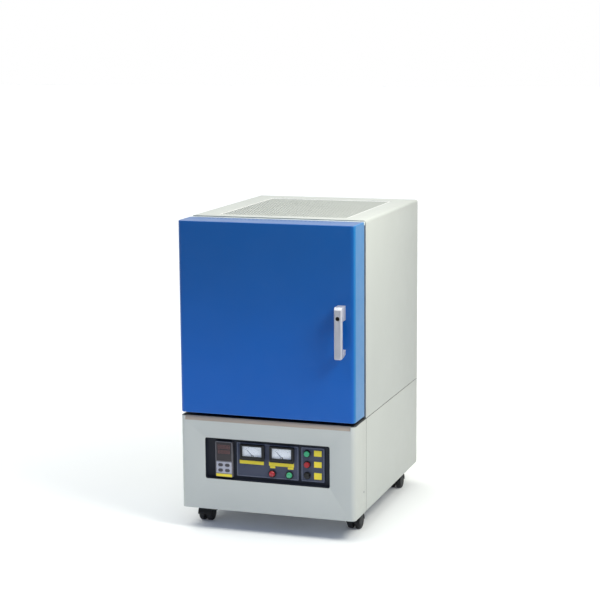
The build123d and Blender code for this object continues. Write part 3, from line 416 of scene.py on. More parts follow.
def rubber(name, colour):
    """Moulded rubber: matt and dusty, with a slightly paler bloom on its high spots."""
    made, tree, shader, place = new_material(name)
    give(tree, shader, {
        "Base Color": tones(tree, grain(tree, place, 9, 4.0), colour, 0.8, 1.6),
        "Normal": relief(tree, grain(tree, place, 0.9, 2.0), 0.05, 0.5),
        "Roughness": 0.72,
    })
    return made


def fired_rod(name, colour):
    """Fired heating rod: rough dark ceramic with a glassy skin in patches."""
    made, tree, shader, place = new_material(name)
    skin = grain(tree, place, 8, 5.0, (1, 1, 0.3))
    give(tree, shader, {
        "Base Color": tones(tree, skin, colour, 0.7, 1.35),
        "Roughness": between(tree, skin, 0.35, 0.7),
        "Normal": relief(tree, grain(tree, place, 1.0, 4.0), 0.1, 0.5),
    })
    return made


def printed_card(name, colour):
    """Dial card: matt printed card with a little tooth."""
    made, tree, shader, place = new_material(name)
    tooth = grain(tree, place, 0.7, 3.0)
    give(tree, shader, {
        "Base Color": tones(tree, tooth, colour, 0.96, 1.0),
        "Normal": relief(tree, tooth, 0.02, 0.3),
        "Roughness": 0.85,
    })
    return made


def laminations(name, colour):
    """Transformer core: stacked thin steel sheets, drawn three millimetres thick, under dark varnish."""
    made, tree, shader, place = new_material(name)
    stack = bands(tree, place, 3, "Y", 0.4)
    give(tree, shader, {
        "Base Color": shade(tree, stack, scaled(colour, 0.75), scaled(colour, 1.2)),
        "Normal": relief(tree, stack, 0.2, 0.5),
        "Roughness": 0.5,
        "Metallic": 0.4,
    })
    return made


def materials(settings):
    """Every finish, by name. They are made once and kept."""
    if MATERIALS:
        return MATERIALS
    cabinet, panel = settings.cabinet, settings.panel
    deck = span("base_right_panel")[1].z
    seam = span("base_right_panel")[0].y
    peel = cabinet.coat_grain
    MATERIALS.update(
        # painted shade: the near-black lines along the joints stand in for the shade in the seams
        white=powder_coat(
            "powder_coated_steel_white", list(cabinet.white), peel, 0.46,
            joints=(("Z", deck, 0.7),),
        ),
        base_white=powder_coat(
            "powder_coated_steel_white_base", list(cabinet.white), peel, 0.46,
            joints=(("Z", deck, 0.7), ("Y", seam, 0.9)),
        ),
        # painted light: the blue turns lighter toward the foot of the door, where more light falls, and
        # lighter on the door's right-hand return
        blue=powder_coat(
            "powder_coated_steel_blue", list(cabinet.blue), peel, 0.32, 0.5, 0.006,
            ((linear("025DB7"), "Z", 800, 330), (linear("0270B0"), "X", 234.5, 238.5)),
        ),
        plain=plated_steel("galvanised_steel", linear("B4B8BC"), 0.45),
        zinc=plated_steel("zinc_plated_steel", linear("B9BDC2")),
        fibre=fibre("ceramic_fibre_board", linear("EDEAE2"), 2.2),
        hearth=fibre("cast_refractory", linear("D9D2C4"), 3.5),
        rope=woven_rope("braided_glass_rope", linear("D8D4C8"), 2.5),
        rod=fired_rod("molybdenum_disilicide_rod", linear("4A4A4C")),
        probe=fibre("alumina_tube", linear("E6E0D2"), 1.5),
        clamp=plated_steel("aluminium_clamp", linear("C6C9CD"), 0.4),
        handle=die_cast("die_cast_zinc_silver_lacquer", linear("C4C4CC")),
        lock=die_cast("lock_brass_dark_nickel", linear("5A5754"), 0.34, 1.0),
        tray=powder_coat("powder_coated_steel_charcoal", linear("1F2430"), peel, 0.5),
        slate=powder_coat("painted_aluminium_slate", linear("484D60"), 1.2, 0.5),
        black=moulded("abs_plastic_black", linear("14161B"), 0.5),
        bezel=moulded("abs_plastic_grey", linear("6C6A70"), 0.5),
        keys=moulded("polyester_keypad_grey", linear("B2B2BE"), 0.55, 0.6),
        legend=moulded("polyester_key_dark_grey", linear("48454A"), 0.5, 0.6),
        display=moulded("smoked_polycarbonate", linear("342F33"), 0.2, 3.0, 0.01),
        window=clear_plastic("clear_acrylic", linear("E8EEF6"), 0.06),
        card=printed_card("printed_dial_card", linear("FAFCFF")),
        red_lens=lens("polycarbonate_lens_red", linear("A82330")),
        green_lens=lens("polycarbonate_lens_green", linear("3FA878")),
        red=moulded("abs_plastic_red", linear("A5202C"), 0.35),
        green=moulded("abs_plastic_green", linear("359F72"), 0.35),
        core=laminations("laminated_steel_core", linear("3A3A40")),
        black_steel=powder_coat("painted_pressed_steel_black", linear("191A1D"), 1.5, 0.45),
        wheel=rubber("moulded_rubber_black", linear("1B1B1E")),
        label=printed_card("printed_aluminium_yellow", list(panel.label)),
        mark=printed_card("printing_ink_dark", list(panel.mark)),
        pointer=moulded("lacquered_aluminium_pointer", linear("6A7686"), 0.4),
        # painted highlight: pale lines for the lit edges of the instrument plates
        line=printed_card("painted_highlight_pale_grey", linear("7E8494")),
        digit=moulded("led_segment_unlit", linear("7A4A48"), 0.4, 1.0, 0.0),
        perforated=powder_coat("powder_coated_steel_perforated", linear("BABDB8"), peel, 0.5),
        # painted shade: the dark grey of the screws' cross recesses
        dark=powder_coat("painted_shade_recess_grey", linear("4A4D50"), peel, 0.7),
        # painted shade: the front frame's dark blue-grey stands in for the shade in the gap round the door
        frame=powder_coat("painted_shade_front_frame", linear("7C8A9A"), peel, 0.6),
        # painted shade: a warm grey for the shade on the base's bevelled top edge under the door
        trim=powder_coat("painted_shade_base_edge", linear("A2968B"), peel, 0.5),
        seal=moulded("silicone_seal_pale_grey", linear("E2E8E4"), 0.6, 1.2, 0.02),
        # painted shade: a black strip for the shade in the gap under the door
        foam=rubber("closed_cell_foam_black", linear("15171C")),
    )
    return MATERIALS


MATERIALS = {}
CASTERS = ("front_left", "front_right", "rear_left", "rear_right")
BASE_PANELS = ("base_front_panel", "base_left_panel", "base_right_panel", "base_rear_panel")

FINISHES = {
    "cabinet": {
        "white": ("body_wrap", "body_rear_panel"),
        "base_white": BASE_PANELS,
        "plain": ("base_floor", "inner_casing", "fan_frame"),
        "frame": ("body_front_frame",),
        "zinc": ("body_hinge_leaves", "door_hinge_leaves", "hinge_pins", "screws"),
    },
    "door": {
        "blue": ("door_shell", "door_inner_pan"),
        "fibre": ("door_plug",),
        "rope": ("door_gasket",),
        "handle": ("handle",),
        "lock": ("lock_plug",),
        "zinc": ("lock_cam",),
    },
    "lining": {
        "fibre": ("hearth_board", "side_boards", "rear_board", "roof_board"),
        "hearth": ("hearth_plate",),
        "rod": ("heating_elements",),
        "clamp": ("element_clamps",),
        "probe": ("thermocouple",),
    },
    "panel": {
        "tray": ("control_tray",),
        "slate": ("meter_plate", "switch_plate"),
        "black": ("meter_cases", "panel_bezels", "black_button"),
        "pointer": ("left_pointer", "right_pointer"),
        "display": ("controller_window",),
        "keys": ("controller_keypad",),
        "card": ("meter_dials",),
        "window": ("meter_windows",),
        "bezel": ("controller_case",),
        "red_lens": ("red_lamp_lens",),
        "green_lens": ("green_lamp_lens",),
        "green": ("green_button",),
        "red": ("red_button",),
    },
    "base": {"core": ("transformer",), "clamp": ("power_module",), "black": ("fan_rotor", "cable_gland")},
    "casters": {
        "black_steel": ("caster_plates", *(caster + "_fork" for caster in CASTERS)),
        "wheel": tuple(caster + "_wheel" for caster in CASTERS),
    },
}


def give_finishes(kinds, group):
    """Puts a group's finishes on its nodes."""
    for kind, nodes in FINISHES[group].items():
        for node in nodes:
            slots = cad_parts[node].data.materials
            if not slots:
                slots.append(kinds[kind])
            for index in range(len(slots)):
                slots[index] = kinds[kind]


# ---------------------------------------------------------------- shapes


def bake(obj, name):
    """The evaluated object as a plain mesh piece. The object itself is removed."""
    bpy.context.view_layer.update()
    evaluated = obj.evaluated_get(bpy.context.evaluated_depsgraph_get())
    mesh = bpy.data.meshes.new_from_object(evaluated)
    mesh.name = name
    obj.modifiers.clear()
    bpy.data.objects.remove(obj)
    piece = bpy.data.objects.new(name, mesh)
    bpy.context.scene.collection.objects.link(piece)
    return piece


def socket_of(tree, name):
    """The identifier of a tree's input."""
    return next(
        item.identifier
        for item in tree.interface.items_tree
        if item.item_type == "SOCKET" and item.in_out == "INPUT" and item.name == name
    )


def new_tree(name, inputs):
    """A geometry tree with its inputs, as (name, socket kind, default), and its output."""
    tree = bpy.data.node_groups.new(name, "GeometryNodeTree")
    tree.interface.new_socket("Geometry", in_out="OUTPUT", socket_type="NodeSocketGeometry")
    for label, kind, default in inputs:
        made = tree.interface.new_socket(label, in_out="INPUT", socket_type=kind)
        if default is not None:
            made.default_value = default
    return tree, add(tree, "NodeGroupInput").outputs


def run_tree(name, tree, values, mesh=None):
    """Runs a tree on a mesh, or on an empty one, and returns the plain mesh piece."""
    mesh = mesh or bpy.data.meshes.new(name + "_source")
    holder = bpy.data.objects.new(name + "_source", mesh)
    bpy.context.scene.collection.objects.link(holder)
    modifier = holder.modifiers.new(name, "NODES")
    modifier.node_group = tree
    for label, value in values.items():
        modifier[socket_of(tree, label)] = value
    return bake(holder, name)


def end_tree(tree, geometry, material):
    """Realize Instances, Set Material and the output."""
    real = add(tree, "GeometryNodeRealizeInstances", {"Geometry": geometry})
    dressed = add(tree, "GeometryNodeSetMaterial", {"Geometry": real, "Material": material})
    add(tree, "NodeGroupOutput", {"Geometry": dressed})


def bars(name, spots, material, body):
    """A bar at each spot: its middle, its size and its turn about Y, in millimetres and degrees."""
    mesh = bpy.data.meshes.new(name + "_source")
    mesh.from_pydata([[v * MM for v in middle] for middle, _, _ in spots], [], [])
    for label, values in (
        ("size", [[v * MM for v in size] for _, size, _ in spots]),
        ("turn", [[0, math.radians(turn), 0] for _, _, turn in spots]),
    ):
        layer = mesh.attributes.new(label, "FLOAT_VECTOR", "POINT")
        layer.data.foreach_set("vector", [v for row in values for v in row])
    tree, given = new_tree(name, [
        ("Spots", "NodeSocketGeometry", None),
        ("Thicker", "NodeSocketFloat", 1.0),
        ("Material", "NodeSocketMaterial", None),
    ])
    size, turn = (
        add(tree, "GeometryNodeInputNamedAttribute", {"Name": label}, data_type="FLOAT_VECTOR")
        for label in ("size", "turn")
    )
    thick = add(tree, VECTOR_MATH, {0: size, "Scale": given["Thicker"]}, operation="SCALE")
    placed = add(tree, "GeometryNodeInstanceOnPoints", {
        "Points": given["Spots"],
        "Instance": add(tree, "GeometryNodeMeshCube", {"Size": (1, 1, 1)}),
        "Rotation": turn,
        "Scale": thick,
    })
    end_tree(tree, placed, given["Material"])
    piece = run_tree(name, tree, {"Material": material, "Thicker": 1.0}, mesh)
    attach(piece, body)
    return piece


# Nodes whose sharp edges are rounded: the body, a slot name and the rounding in millimetres
SOFT = {
    "cabinet": {node: ("cabinet", "white_paint", 0.5) for node in (*BASE_PANELS, "body_wrap")},
    "door": {"handle": ("door", "handle_zinc", 1.6)},
    "panel": {
        "control_tray": ("cabinet", "panel_dark", 0.5),
        "meter_plate": ("cabinet", "panel_slate", 0.5),
        "switch_plate": ("cabinet", "panel_slate", 0.5),
        "controller_case": ("cabinet", "grey_plastic", 0.9),
        "controller_keypad": ("cabinet", "key_plastic", 0.3),
        "meter_cases": ("cabinet", "black_plastic", 0.9),
        "panel_bezels": ("cabinet", "black_plastic", 0.6),
        "green_button": ("green_push", "green_plastic", 1.2),
        "red_button": ("red_push", "red_plastic", 1.2),
        "black_button": ("black_push", "black_plastic", 1.2),
    },
    "casters": {caster + "_fork": (caster + "_swivel", "black_steel", 0.6) for caster in CASTERS},
}


def soften(group):
    """Puts a copy in the place of each of a group's nodes, with its sharp edges rounded."""
    for node, (body, slot, width) in SOFT.get(group, {}).items():
        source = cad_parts[node]
        bm = bmesh.new()
        bm.from_mesh(source.data)
        bmesh.ops.remove_doubles(bm, verts=bm.verts, dist=SEAM)
        bmesh.ops.dissolve_limit(bm, angle_limit=math.radians(0.5), verts=bm.verts, edges=bm.edges)
        mesh = bpy.data.meshes.new(node + "_edges")
        bm.to_mesh(mesh)
        bm.free()
        mesh.materials.append(source.data.materials[0])
        holder = bpy.data.objects.new(node + "_edges", mesh)
        bpy.context.scene.collection.objects.link(holder)
        rounding = holder.modifiers.new("rounding", "BEVEL")
        rounding.width = width * MM
        rounding.segments = 2
        rounding.limit_method = "ANGLE"
        rounding.angle_limit = math.radians(35)
        piece = bake(holder, node + "_rounded")
        piece.data.shade_smooth()
        piece.data.set_sharp_from_angle(angle=math.radians(38))
        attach(piece, body)
        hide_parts(node)


# ---------------------------------------------------------------- operators


class Piece:
    """Makes a piece from the furnace's settings and finishes"""

    def execute(self, context):
        settings = context.scene.furnace
        self.make(settings, materials(settings))
        return {"FINISHED"}


class Dressing(Piece):
    """Gives a group's nodes their finishes, and rounded edges where they have them"""

    def make(self, settings, kinds):
        give_finishes(kinds, self.group)
        soften(self.group)


class FURNACE_OT_cabinet(Dressing, bpy.types.Operator):
    """Finishes of the cabinet's sheets and fixings"""

    bl_idname = "furnace.cabinet"
    bl_label = "Cabinet"
    group = "cabinet"


class FURNACE_OT_door(Dressing, bpy.types.Operator):
    """Finishes of the door, its handle and its lock"""

    bl_idname = "furnace.door"
    bl_label = "Door"
    group = "door"


class FURNACE_OT_lining(Dressing, bpy.types.Operator):
    """Finishes of the chamber's boards, elements and probe"""

    bl_idname = "furnace.lining"
    bl_label = "Lining"
    group = "lining"


class FURNACE_OT_panel(Dressing, bpy.types.Operator):
    """Finishes of the control panel and the devices in it"""

    bl_idname = "furnace.panel"
    bl_label = "Control panel"
    group = "panel"


class FURNACE_OT_base(Dressing, bpy.types.Operator):
    """Finishes of the electrical parts in the base"""

    bl_idname = "furnace.base"
    bl_label = "Base parts"
    group = "base"


class FURNACE_OT_casters(Dressing, bpy.types.Operator):
    """Finishes of the casters"""

    bl_idname = "furnace.casters"
    bl_label = "Casters"
    group = "casters"


def perforated_plate(settings, low, high, material):
    """Cells on a staggered grid, made by a tree, with a plain rim round them."""
    pitch, rim = settings.pitch, settings.rim
    step = pitch * math.sqrt(3) / 2
    columns = int((high.x - low.x - 2 * rim) / pitch)
    rows = int((high.y - low.y - 2 * rim) / step)
    tree, given = new_tree("perforated_sheet", [
        ("Columns", "NodeSocketInt", columns),
        ("Rows", "NodeSocketInt", rows),
        ("Pitch", "NodeSocketFloat", pitch),
        ("Hole share", "NodeSocketFloat", settings.hole),
        ("Thickness", "NodeSocketFloat", settings.thickness),
        ("Middle", "NodeSocketVector", None),
        ("Material", "NodeSocketMaterial", None),
    ])
    # points of a staggered grid: row and column from the index, odd rows half a pitch along
    count = add(tree, MATH, {0: given["Columns"], 1: given["Rows"]}, operation="MULTIPLY")
    index = add(tree, "GeometryNodeInputIndex")
    row = add(tree, MATH, {0: index, 1: given["Columns"]}, operation="DIVIDE")
    row = add(tree, MATH, {0: row}, operation="FLOOR")
    column = add(tree, MATH, {0: index, 1: given["Columns"]}, operation="MODULO")
    odd = add(tree, MATH, {0: row, 1: 2.0}, operation="MODULO")
    along = add(tree, MATH, {0: odd, 1: 0.5, 2: column}, operation="MULTIPLY_ADD")
    half_columns = add(tree, MATH, {0: given["Columns"], 1: -0.5, 2: 0.25}, operation="MULTIPLY_ADD")
    half_rows = add(tree, MATH, {0: given["Rows"], 1: -0.5, 2: 0.5}, operation="MULTIPLY_ADD")
    step_up = add(tree, MATH, {0: given["Pitch"], 1: math.sqrt(3) / 2}, operation="MULTIPLY")
    x = add(tree, MATH, {0: along, 1: half_columns})
    x = add(tree, MATH, {0: x, 1: given["Pitch"]}, operation="MULTIPLY")
    y = add(tree, MATH, {0: row, 1: half_rows})
    y = add(tree, MATH, {0: y, 1: step_up}, operation="MULTIPLY")
    spot = add(tree, "ShaderNodeCombineXYZ", {"X": x, "Y": y})
    placed = add(tree, VECTOR_MATH, {0: spot, 1: given["Middle"]}, operation="ADD")
    points = add(tree, "GeometryNodePoints", {"Count": count, "Position": placed})
    # one cell: a six-sided face whose middle is pushed through as a hole
    radius = add(tree, MATH, {0: given["Pitch"], 1: 1 / math.sqrt(3)}, operation="MULTIPLY")
    circle = add(tree, "GeometryNodeMeshCircle", {"Vertices": 6, "Radius": radius}, fill_type="NGON")
    inset = add(tree, "GeometryNodeExtrudeMesh", {"Mesh": circle, "Offset Scale": 0.0}, mode="FACES")
    hole = {"Selection": inset.outputs["Top"]}
    shrunk = add(
        tree, "GeometryNodeScaleElements", {"Geometry": inset, "Scale": given["Hole share"], **hole}
    )
    ring = add(tree, "GeometryNodeDeleteGeometry", {"Geometry": shrunk, **hole}, domain="FACE")
    cells = {"Points": points, "Instance": ring, "Rotation": (0.0, 0.0, math.radians(30))}
    cells = add(tree, "GeometryNodeInstanceOnPoints", cells)
    flat = add(tree, "GeometryNodeRealizeInstances", {"Geometry": cells})
    merged = add(tree, "GeometryNodeMergeByDistance", {"Geometry": flat, "Distance": WELD})
    down = add(tree, MATH, {0: given["Thickness"], 1: -1.0}, operation="MULTIPLY")
    sunk = {
        "Mesh": add(tree, "GeometryNodeFlipFaces", {"Mesh": merged}),
        "Offset": add(tree, "ShaderNodeCombineXYZ", {"Z": down}),
        "Individual": False,
    }
    walls = add(tree, "GeometryNodeExtrudeMesh", sunk, mode="FACES")
    both = add(tree, "GeometryNodeJoinGeometry")
    for part in (walls, merged):
        tree.links.new(part.outputs[0], both.inputs[0])
    closed = add(tree, "GeometryNodeMergeByDistance", {"Geometry": both, "Distance": WELD})
    end_tree(tree, closed, given["Material"])
    middle = (low + high) / 2
    lower_by = 0.2 * MM
    piece = run_tree("perforated_plate", tree, {
        "Columns": columns,
        "Rows": rows,
        "Middle": (middle.x, middle.y, high.z - lower_by),
        "Material": material,
        "Pitch": pitch,
        "Hole share": settings.hole,
        "Thickness": settings.thickness,
    })
    # the plain rim, a closed frame a little prouder than the cells so that it covers their ragged edge
    bm = bmesh.new()
    bm.from_mesh(piece.data)
    inner = Vector((columns * pitch / 2 - 0.1 * pitch, rows * step / 2 - 0.35 * pitch))
    outer = Vector(((high.x - low.x) / 2, (high.y - low.y) / 2))
    corners = ((-1, -1), (1, -1), (1, 1), (-1, 1))
    upper, lower = (
        [
            [bm.verts.new((middle.x + sx * reach.x, middle.y + sy * reach.y, level)) for sx, sy in corners]
            for reach in (inner, outer)
        ]
        for level in (high.z, high.z - settings.thickness - lower_by)
    )
    for i in range(4):
        j = (i + 1) % 4
        bm.faces.new((upper[0][i], upper[1][i], upper[1][j], upper[0][j]))
        bm.faces.new((lower[0][j], lower[1][j], lower[1][i], lower[0][i]))
        bm.faces.new((upper[1][i], lower[1][i], lower[1][j], upper[1][j]))
        bm.faces.new((upper[0][j], lower[0][j], lower[0][i], upper[0][i]))
    bm.to_mesh(piece.data)
    bm.free()
    return piece


class FURNACE_OT_perforated_plate(Piece, bpy.types.Operator):
    """The finely perforated plate in the top cover, in place of the coarse one"""

    bl_idname = "furnace.perforated_plate"
    bl_label = "Perforated plate"

    def make(self, settings, kinds):
        low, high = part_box("top_grille")
        # it lies in the cover's opening, just under the top, and ends at the opening's edges
        lip, sunk = 10.2 * MM, 0.9 * MM
        under = Vector((lip, lip, 0.0))
        low, high = low + under, high - under
        high.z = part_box("body_wrap")[1].z - sunk
        piece = perforated_plate(settings.plate, low, high, kinds["perforated"])
        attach(piece, "cabinet")
        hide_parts("top_grille")


# Label plates on the control panel: middle x, middle z, width and height in millimetres
LABELS = (
    (-46.2, 190.8, 67.2, 10.5),
    (36.2, 190.8, 68.7, 10.5),
    (11.9, 182.3, 14.3, 5.6),
    (61.2, 182.3, 15.3, 5.6),
    (136.0, 227.6, 20.6, 15.4),
    (136.0, 197.9, 20.6, 15.3),
    (136.0, 167.2, 20.6, 17.3),
)


class FURNACE_OT_labels(Piece, bpy.types.Operator):
    """Blank yellow label plates beside the meters, lamps and buttons"""

    bl_idname = "furnace.labels"
    bl_label = "Label plates"

    def make(self, settings, kinds):
        thickness = settings.panel.label_thickness / MM
        front = span("meter_plate")[0].y
        bm = bmesh.new()
        for x, z, width, height in LABELS:
            plate(bm, x, z, front - thickness, width, height, thickness + 0.3, 0.8)
        low, high = span("controller_case")
        foot = span("controller_keypad")[0].z - 1.5
        bottom = low.z + 1.5
        plate(
            bm, (low.x + high.x) / 2, (foot + bottom) / 2, low.y - thickness,
            high.x - low.x - 4, foot - bottom, thickness + 0.4, 0.6,
        )
        finish_mesh("label_plates", bm, kinds["label"], "cabinet")


class FURNACE_OT_keys(Piece, bpy.types.Operator):
    """Dark oval keys on the controller's keypad and thicker lower frames on the meters"""

    bl_idname = "furnace.keys"
    bl_label = "Keys and meter frames"

    def make(self, settings, kinds):
        low, high = span("controller_keypad")
        middle = (low + high) / 2
        bm = bmesh.new()
        width, height, thickness, corner = 13.4, 8.6, 0.6, 4.2
        front = low.y - 0.25
        for across in (-9.6, 9.6):
            for up in (-7.2, 7.2):
                plate(bm, middle.x + across, middle.z + up, front, width, height, thickness, corner)
        finish_mesh("key_caps", bm, kinds["legend"], "cabinet", 30)
        low, high = span("meter_cases")
        inner, outer = span("meter_windows")
        bm = bmesh.new()
        width = 67.0
        for middle in (low.x + width / 2, high.x - width / 2):
            plate(bm, middle, low.z - 1.9, low.y, width - 1.0, 3.8, 4.0, 0.6)
            plate(bm, middle, inner.z + 0.5, low.y - 0.01, width - 6, 3.0, 1.0)
            for side in (-1, 1):
                plate(
                    bm, middle + side * (width / 2 - 5.2), (inner.z + outer.z) / 2, low.y - 0.01,
                    3.2, outer.z - inner.z + 2, 1.0,
                )
        finish_mesh("meter_frames", bm, kinds["black"], "cabinet")


class FURNACE_OT_trims(Piece, bpy.types.Operator):
    """A strip of painted shade on the base's bevelled top edge, under the door's overhang, and the pale
    seal along the door's top
    """

    bl_idname = "furnace.trims"
    bl_label = "Edge shade and seal"

    def make(self, settings, kinds):
        low, high = span("base_front_panel")
        front, deck = low.y, high.z
        drop, back = 11.0, 7.0  # of the panel's bevelled top edge
        reach = math.hypot(drop, back)
        out = (-drop / reach, back / reach)
        # painted shade: a warm grey strip lying just over the bevel, for the shade the door's overhang
        # casts on it
        bm = bmesh.new()
        section = [
            (y + out[0] * away, z + out[1] * away)
            for (y, z), away in (
                ((front, deck - drop), 0.02), ((front + back, deck), 0.02),
                ((front + back, deck), 0.3), ((front, deck - drop), 0.3),
            )
        ]
        prism(bm, section, low.x + 12, high.x - 12)
        finish_mesh("base_edge_shade_strip", bm, kinds["trim"], "cabinet")
        low, high = span("door_inner_pan")
        wrap = span("body_wrap")[0].y
        bm = bmesh.new()
        top = span("door_shell")[1].z
        near, far, foot, brow = high.y + 0.1, wrap - 0.8, top - 9, top - 0.3
        prism(bm, [(near, foot), (far, foot), (far, brow), (near, brow)], low.x + 0.5, high.x - 0.5)
        finish_mesh("door_top_seal", bm, kinds["seal"], "door")


class FURNACE_OT_deck(Piece, bpy.types.Operator):
    """Black strip on the deck under the door: painted shade of the dark gap beneath the door"""

    bl_idname = "furnace.deck"
    bl_label = "Deck strip"

    def make(self, settings, kinds):
        low, high = span("base_front_panel")
        rear = span("body_front_frame")[0].y
        bm = bmesh.new()
        bmesh.ops.create_cube(bm, size=1)
        inset, thickness = 12, 1.2
        size = Vector((high.x - low.x - inset, rear - low.y - inset, thickness))
        middle = Vector((0, (rear + low.y) / 2 + 5, high.z + 0.55))
        for vert in bm.verts:
            vert.co = Vector([vert.co[i] * size[i] + middle[i] for i in range(3)]) * MM
        finish_mesh("deck_shade_strip", bm, kinds["foam"], "cabinet")


# The seven segments of a digit, as (x, z, upright) in halves of its width and height
SEGMENTS = ((0, 1, 0), (0, 0, 0), (0, -1, 0), (-1, 0.5, 1), (1, 0.5, 1), (-1, -0.5, 1), (1, -0.5, 1))


class FURNACE_OT_display(Piece, bpy.types.Operator):
    """Unlit digit segments behind the controller's window"""

    bl_idname = "furnace.display"
    bl_label = "Display"

    def make(self, settings, kinds):
        low, high = span("controller_window")
        middle, front = (low.x + high.x) / 2, low.y + 0.1
        spots = []
        pitch, line, depth = 8.8, 1.1, 0.3
        for rise, width, height in ((0.76, 6.4, 9.5), (0.49, 5.6, 8.5)):
            for column in range(4):
                x = middle + (column - 1.5) * pitch
                z = low.z + rise * (high.z - low.z)
                for across, up, upright in SEGMENTS:
                    size = (line, depth, height / 2 - 1.0) if upright else (width - 1.6, depth, line)
                    spots.append(((x + across * width / 2, front, z + up * height / 2), size, 0))
        bars("controller_digits", spots, kinds["digit"], "cabinet")


class FURNACE_OT_scales(Piece, bpy.types.Operator):
    """Scale marks and pivot covers of the two meters"""

    bl_idname = "furnace.scales"
    bl_label = "Meter scales"

    def make(self, settings, kinds):
        front = span("meter_dials")[0].y - 0.02
        marks = []
        bm = bmesh.new()
        for side in ("left", "right"):
            near, far = span(side + "_pointer")
            hub = 2.5  # the pointer's hub, in radius
            pivot = (far.x - hub, near.z + hub)
            radius = (far.z - near.z - hub) * math.sqrt(2) + 1.5
            for step in range(settings.panel.marks):
                turn = -45 + 90 * step / (settings.panel.marks - 1)
                long = step % 5 == 0
                reach = radius + (1.2 if long else 0.5)
                away = math.radians(turn)
                middle = (pivot[0] + reach * math.sin(away), front, pivot[1] + reach * math.cos(away))
                marks.append((middle, (0.5, 0.1, 2.4) if long else (0.3, 0.1, 1.0), turn))
            plate(bm, pivot[0], pivot[1] - 0.5, near.y - 0.25, 7.0, 5.0, 0.7, 2.2)
        bars("meter_scales", marks, kinds["mark"], "cabinet")
        finish_mesh("meter_pivot_covers", bm, kinds["black"], "cabinet", 30)


class FURNACE_OT_outlines(Piece, bpy.types.Operator):
    """Paler lines near the edges of the two instrument plates: painted highlights on the plates' edges"""

    bl_idname = "furnace.outlines"
    bl_label = "Plate outlines"

    def make(self, settings, kinds):
        inset, line = 2.2, settings.panel.line / MM
        spots = []
        for node in ("meter_plate", "switch_plate"):
            low, high = span(node)
            middle = (low + high) / 2
            y = low.y - 0.02
            width, height = high.x - low.x - 2 * inset, high.z - low.z - 2 * inset
            for side in (-1, 1):
                spots.append(((middle.x, y, middle.z + side * height / 2), (width, 0.1, line), 0))
                spots.append(((middle.x + side * width / 2, y, middle.z), (line, 0.1, height - line), 0))
        bars("plate_outlines", spots, kinds["line"], "cabinet")


class FURNACE_OT_drives(Piece, bpy.types.Operator):
    """Cross recesses of the screws in the sheets, drawn as dark bars of painted shade"""

    bl_idname = "furnace.drives"
    bl_label = "Screw recesses"

    def make(self, settings, kinds):
        spots = []
        for middle, radius, axis in screw_heads():
            for size in ((1.3 * radius, 0.4 * radius), (0.4 * radius, 1.3 * radius)):
                bar = (0.12, *size) if axis == "X" else (size[0], 0.12, size[1])
                spots.append((middle, bar, 0))
        bars("screw_recesses", spots, kinds["dark"], "cabinet")


def screw_heads():
    """The outer face of each upright screw head in the screws node: its middle, its radius and its axis."""
    bm = bmesh.new()
    bm.from_mesh(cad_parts["screws"].data)
    bmesh.ops.remove_doubles(bm, verts=bm.verts, dist=SEAM)
    seen, heads = set(), []
    for vert in bm.verts:
        if vert in seen:
            continue
        island, queue = [], [vert]
        seen.add(vert)
        while queue:
            here = queue.pop()
            island.append(here.co / MM)
            for edge in here.link_edges:
                other = edge.other_vert(here)
                if other not in seen:
                    seen.add(other)
                    queue.append(other)
        low = Vector([min(c[i] for c in island) for i in range(3)])
        high = Vector([max(c[i] for c in island) for i in range(3)])
        size = high - low
        middle = (low + high) / 2
        if abs(size.y - size.z) < 0.1:
            face = high.x if middle.x > 0 else low.x
            heads.append(((face, middle.y, middle.z), size.y / 2, "X"))
        elif abs(size.x - size.z) < 0.1:
            face = high.y if middle.y > 0 else low.y
            heads.append(((middle.x, face, middle.z), size.x / 2, "Y"))
    bm.free()
    return heads


def lamp(name, kind, spot, aim, **settings):
    """A lamp at a spot that shines at an aim, in metres."""
    light = bpy.data.lights.new(name, kind)
    for key, value in settings.items():
        setattr(light, key, value)
    made = bpy.data.objects.new(name, light)
    bpy.context.scene.collection.objects.link(made)
    spot, aim = Vector(spot), Vector(aim)
    turn = (aim - spot).to_track_quat("-Z", "Y").to_matrix().to_4x4()
    made.matrix_world = Matrix.Translation(spot) @ turn


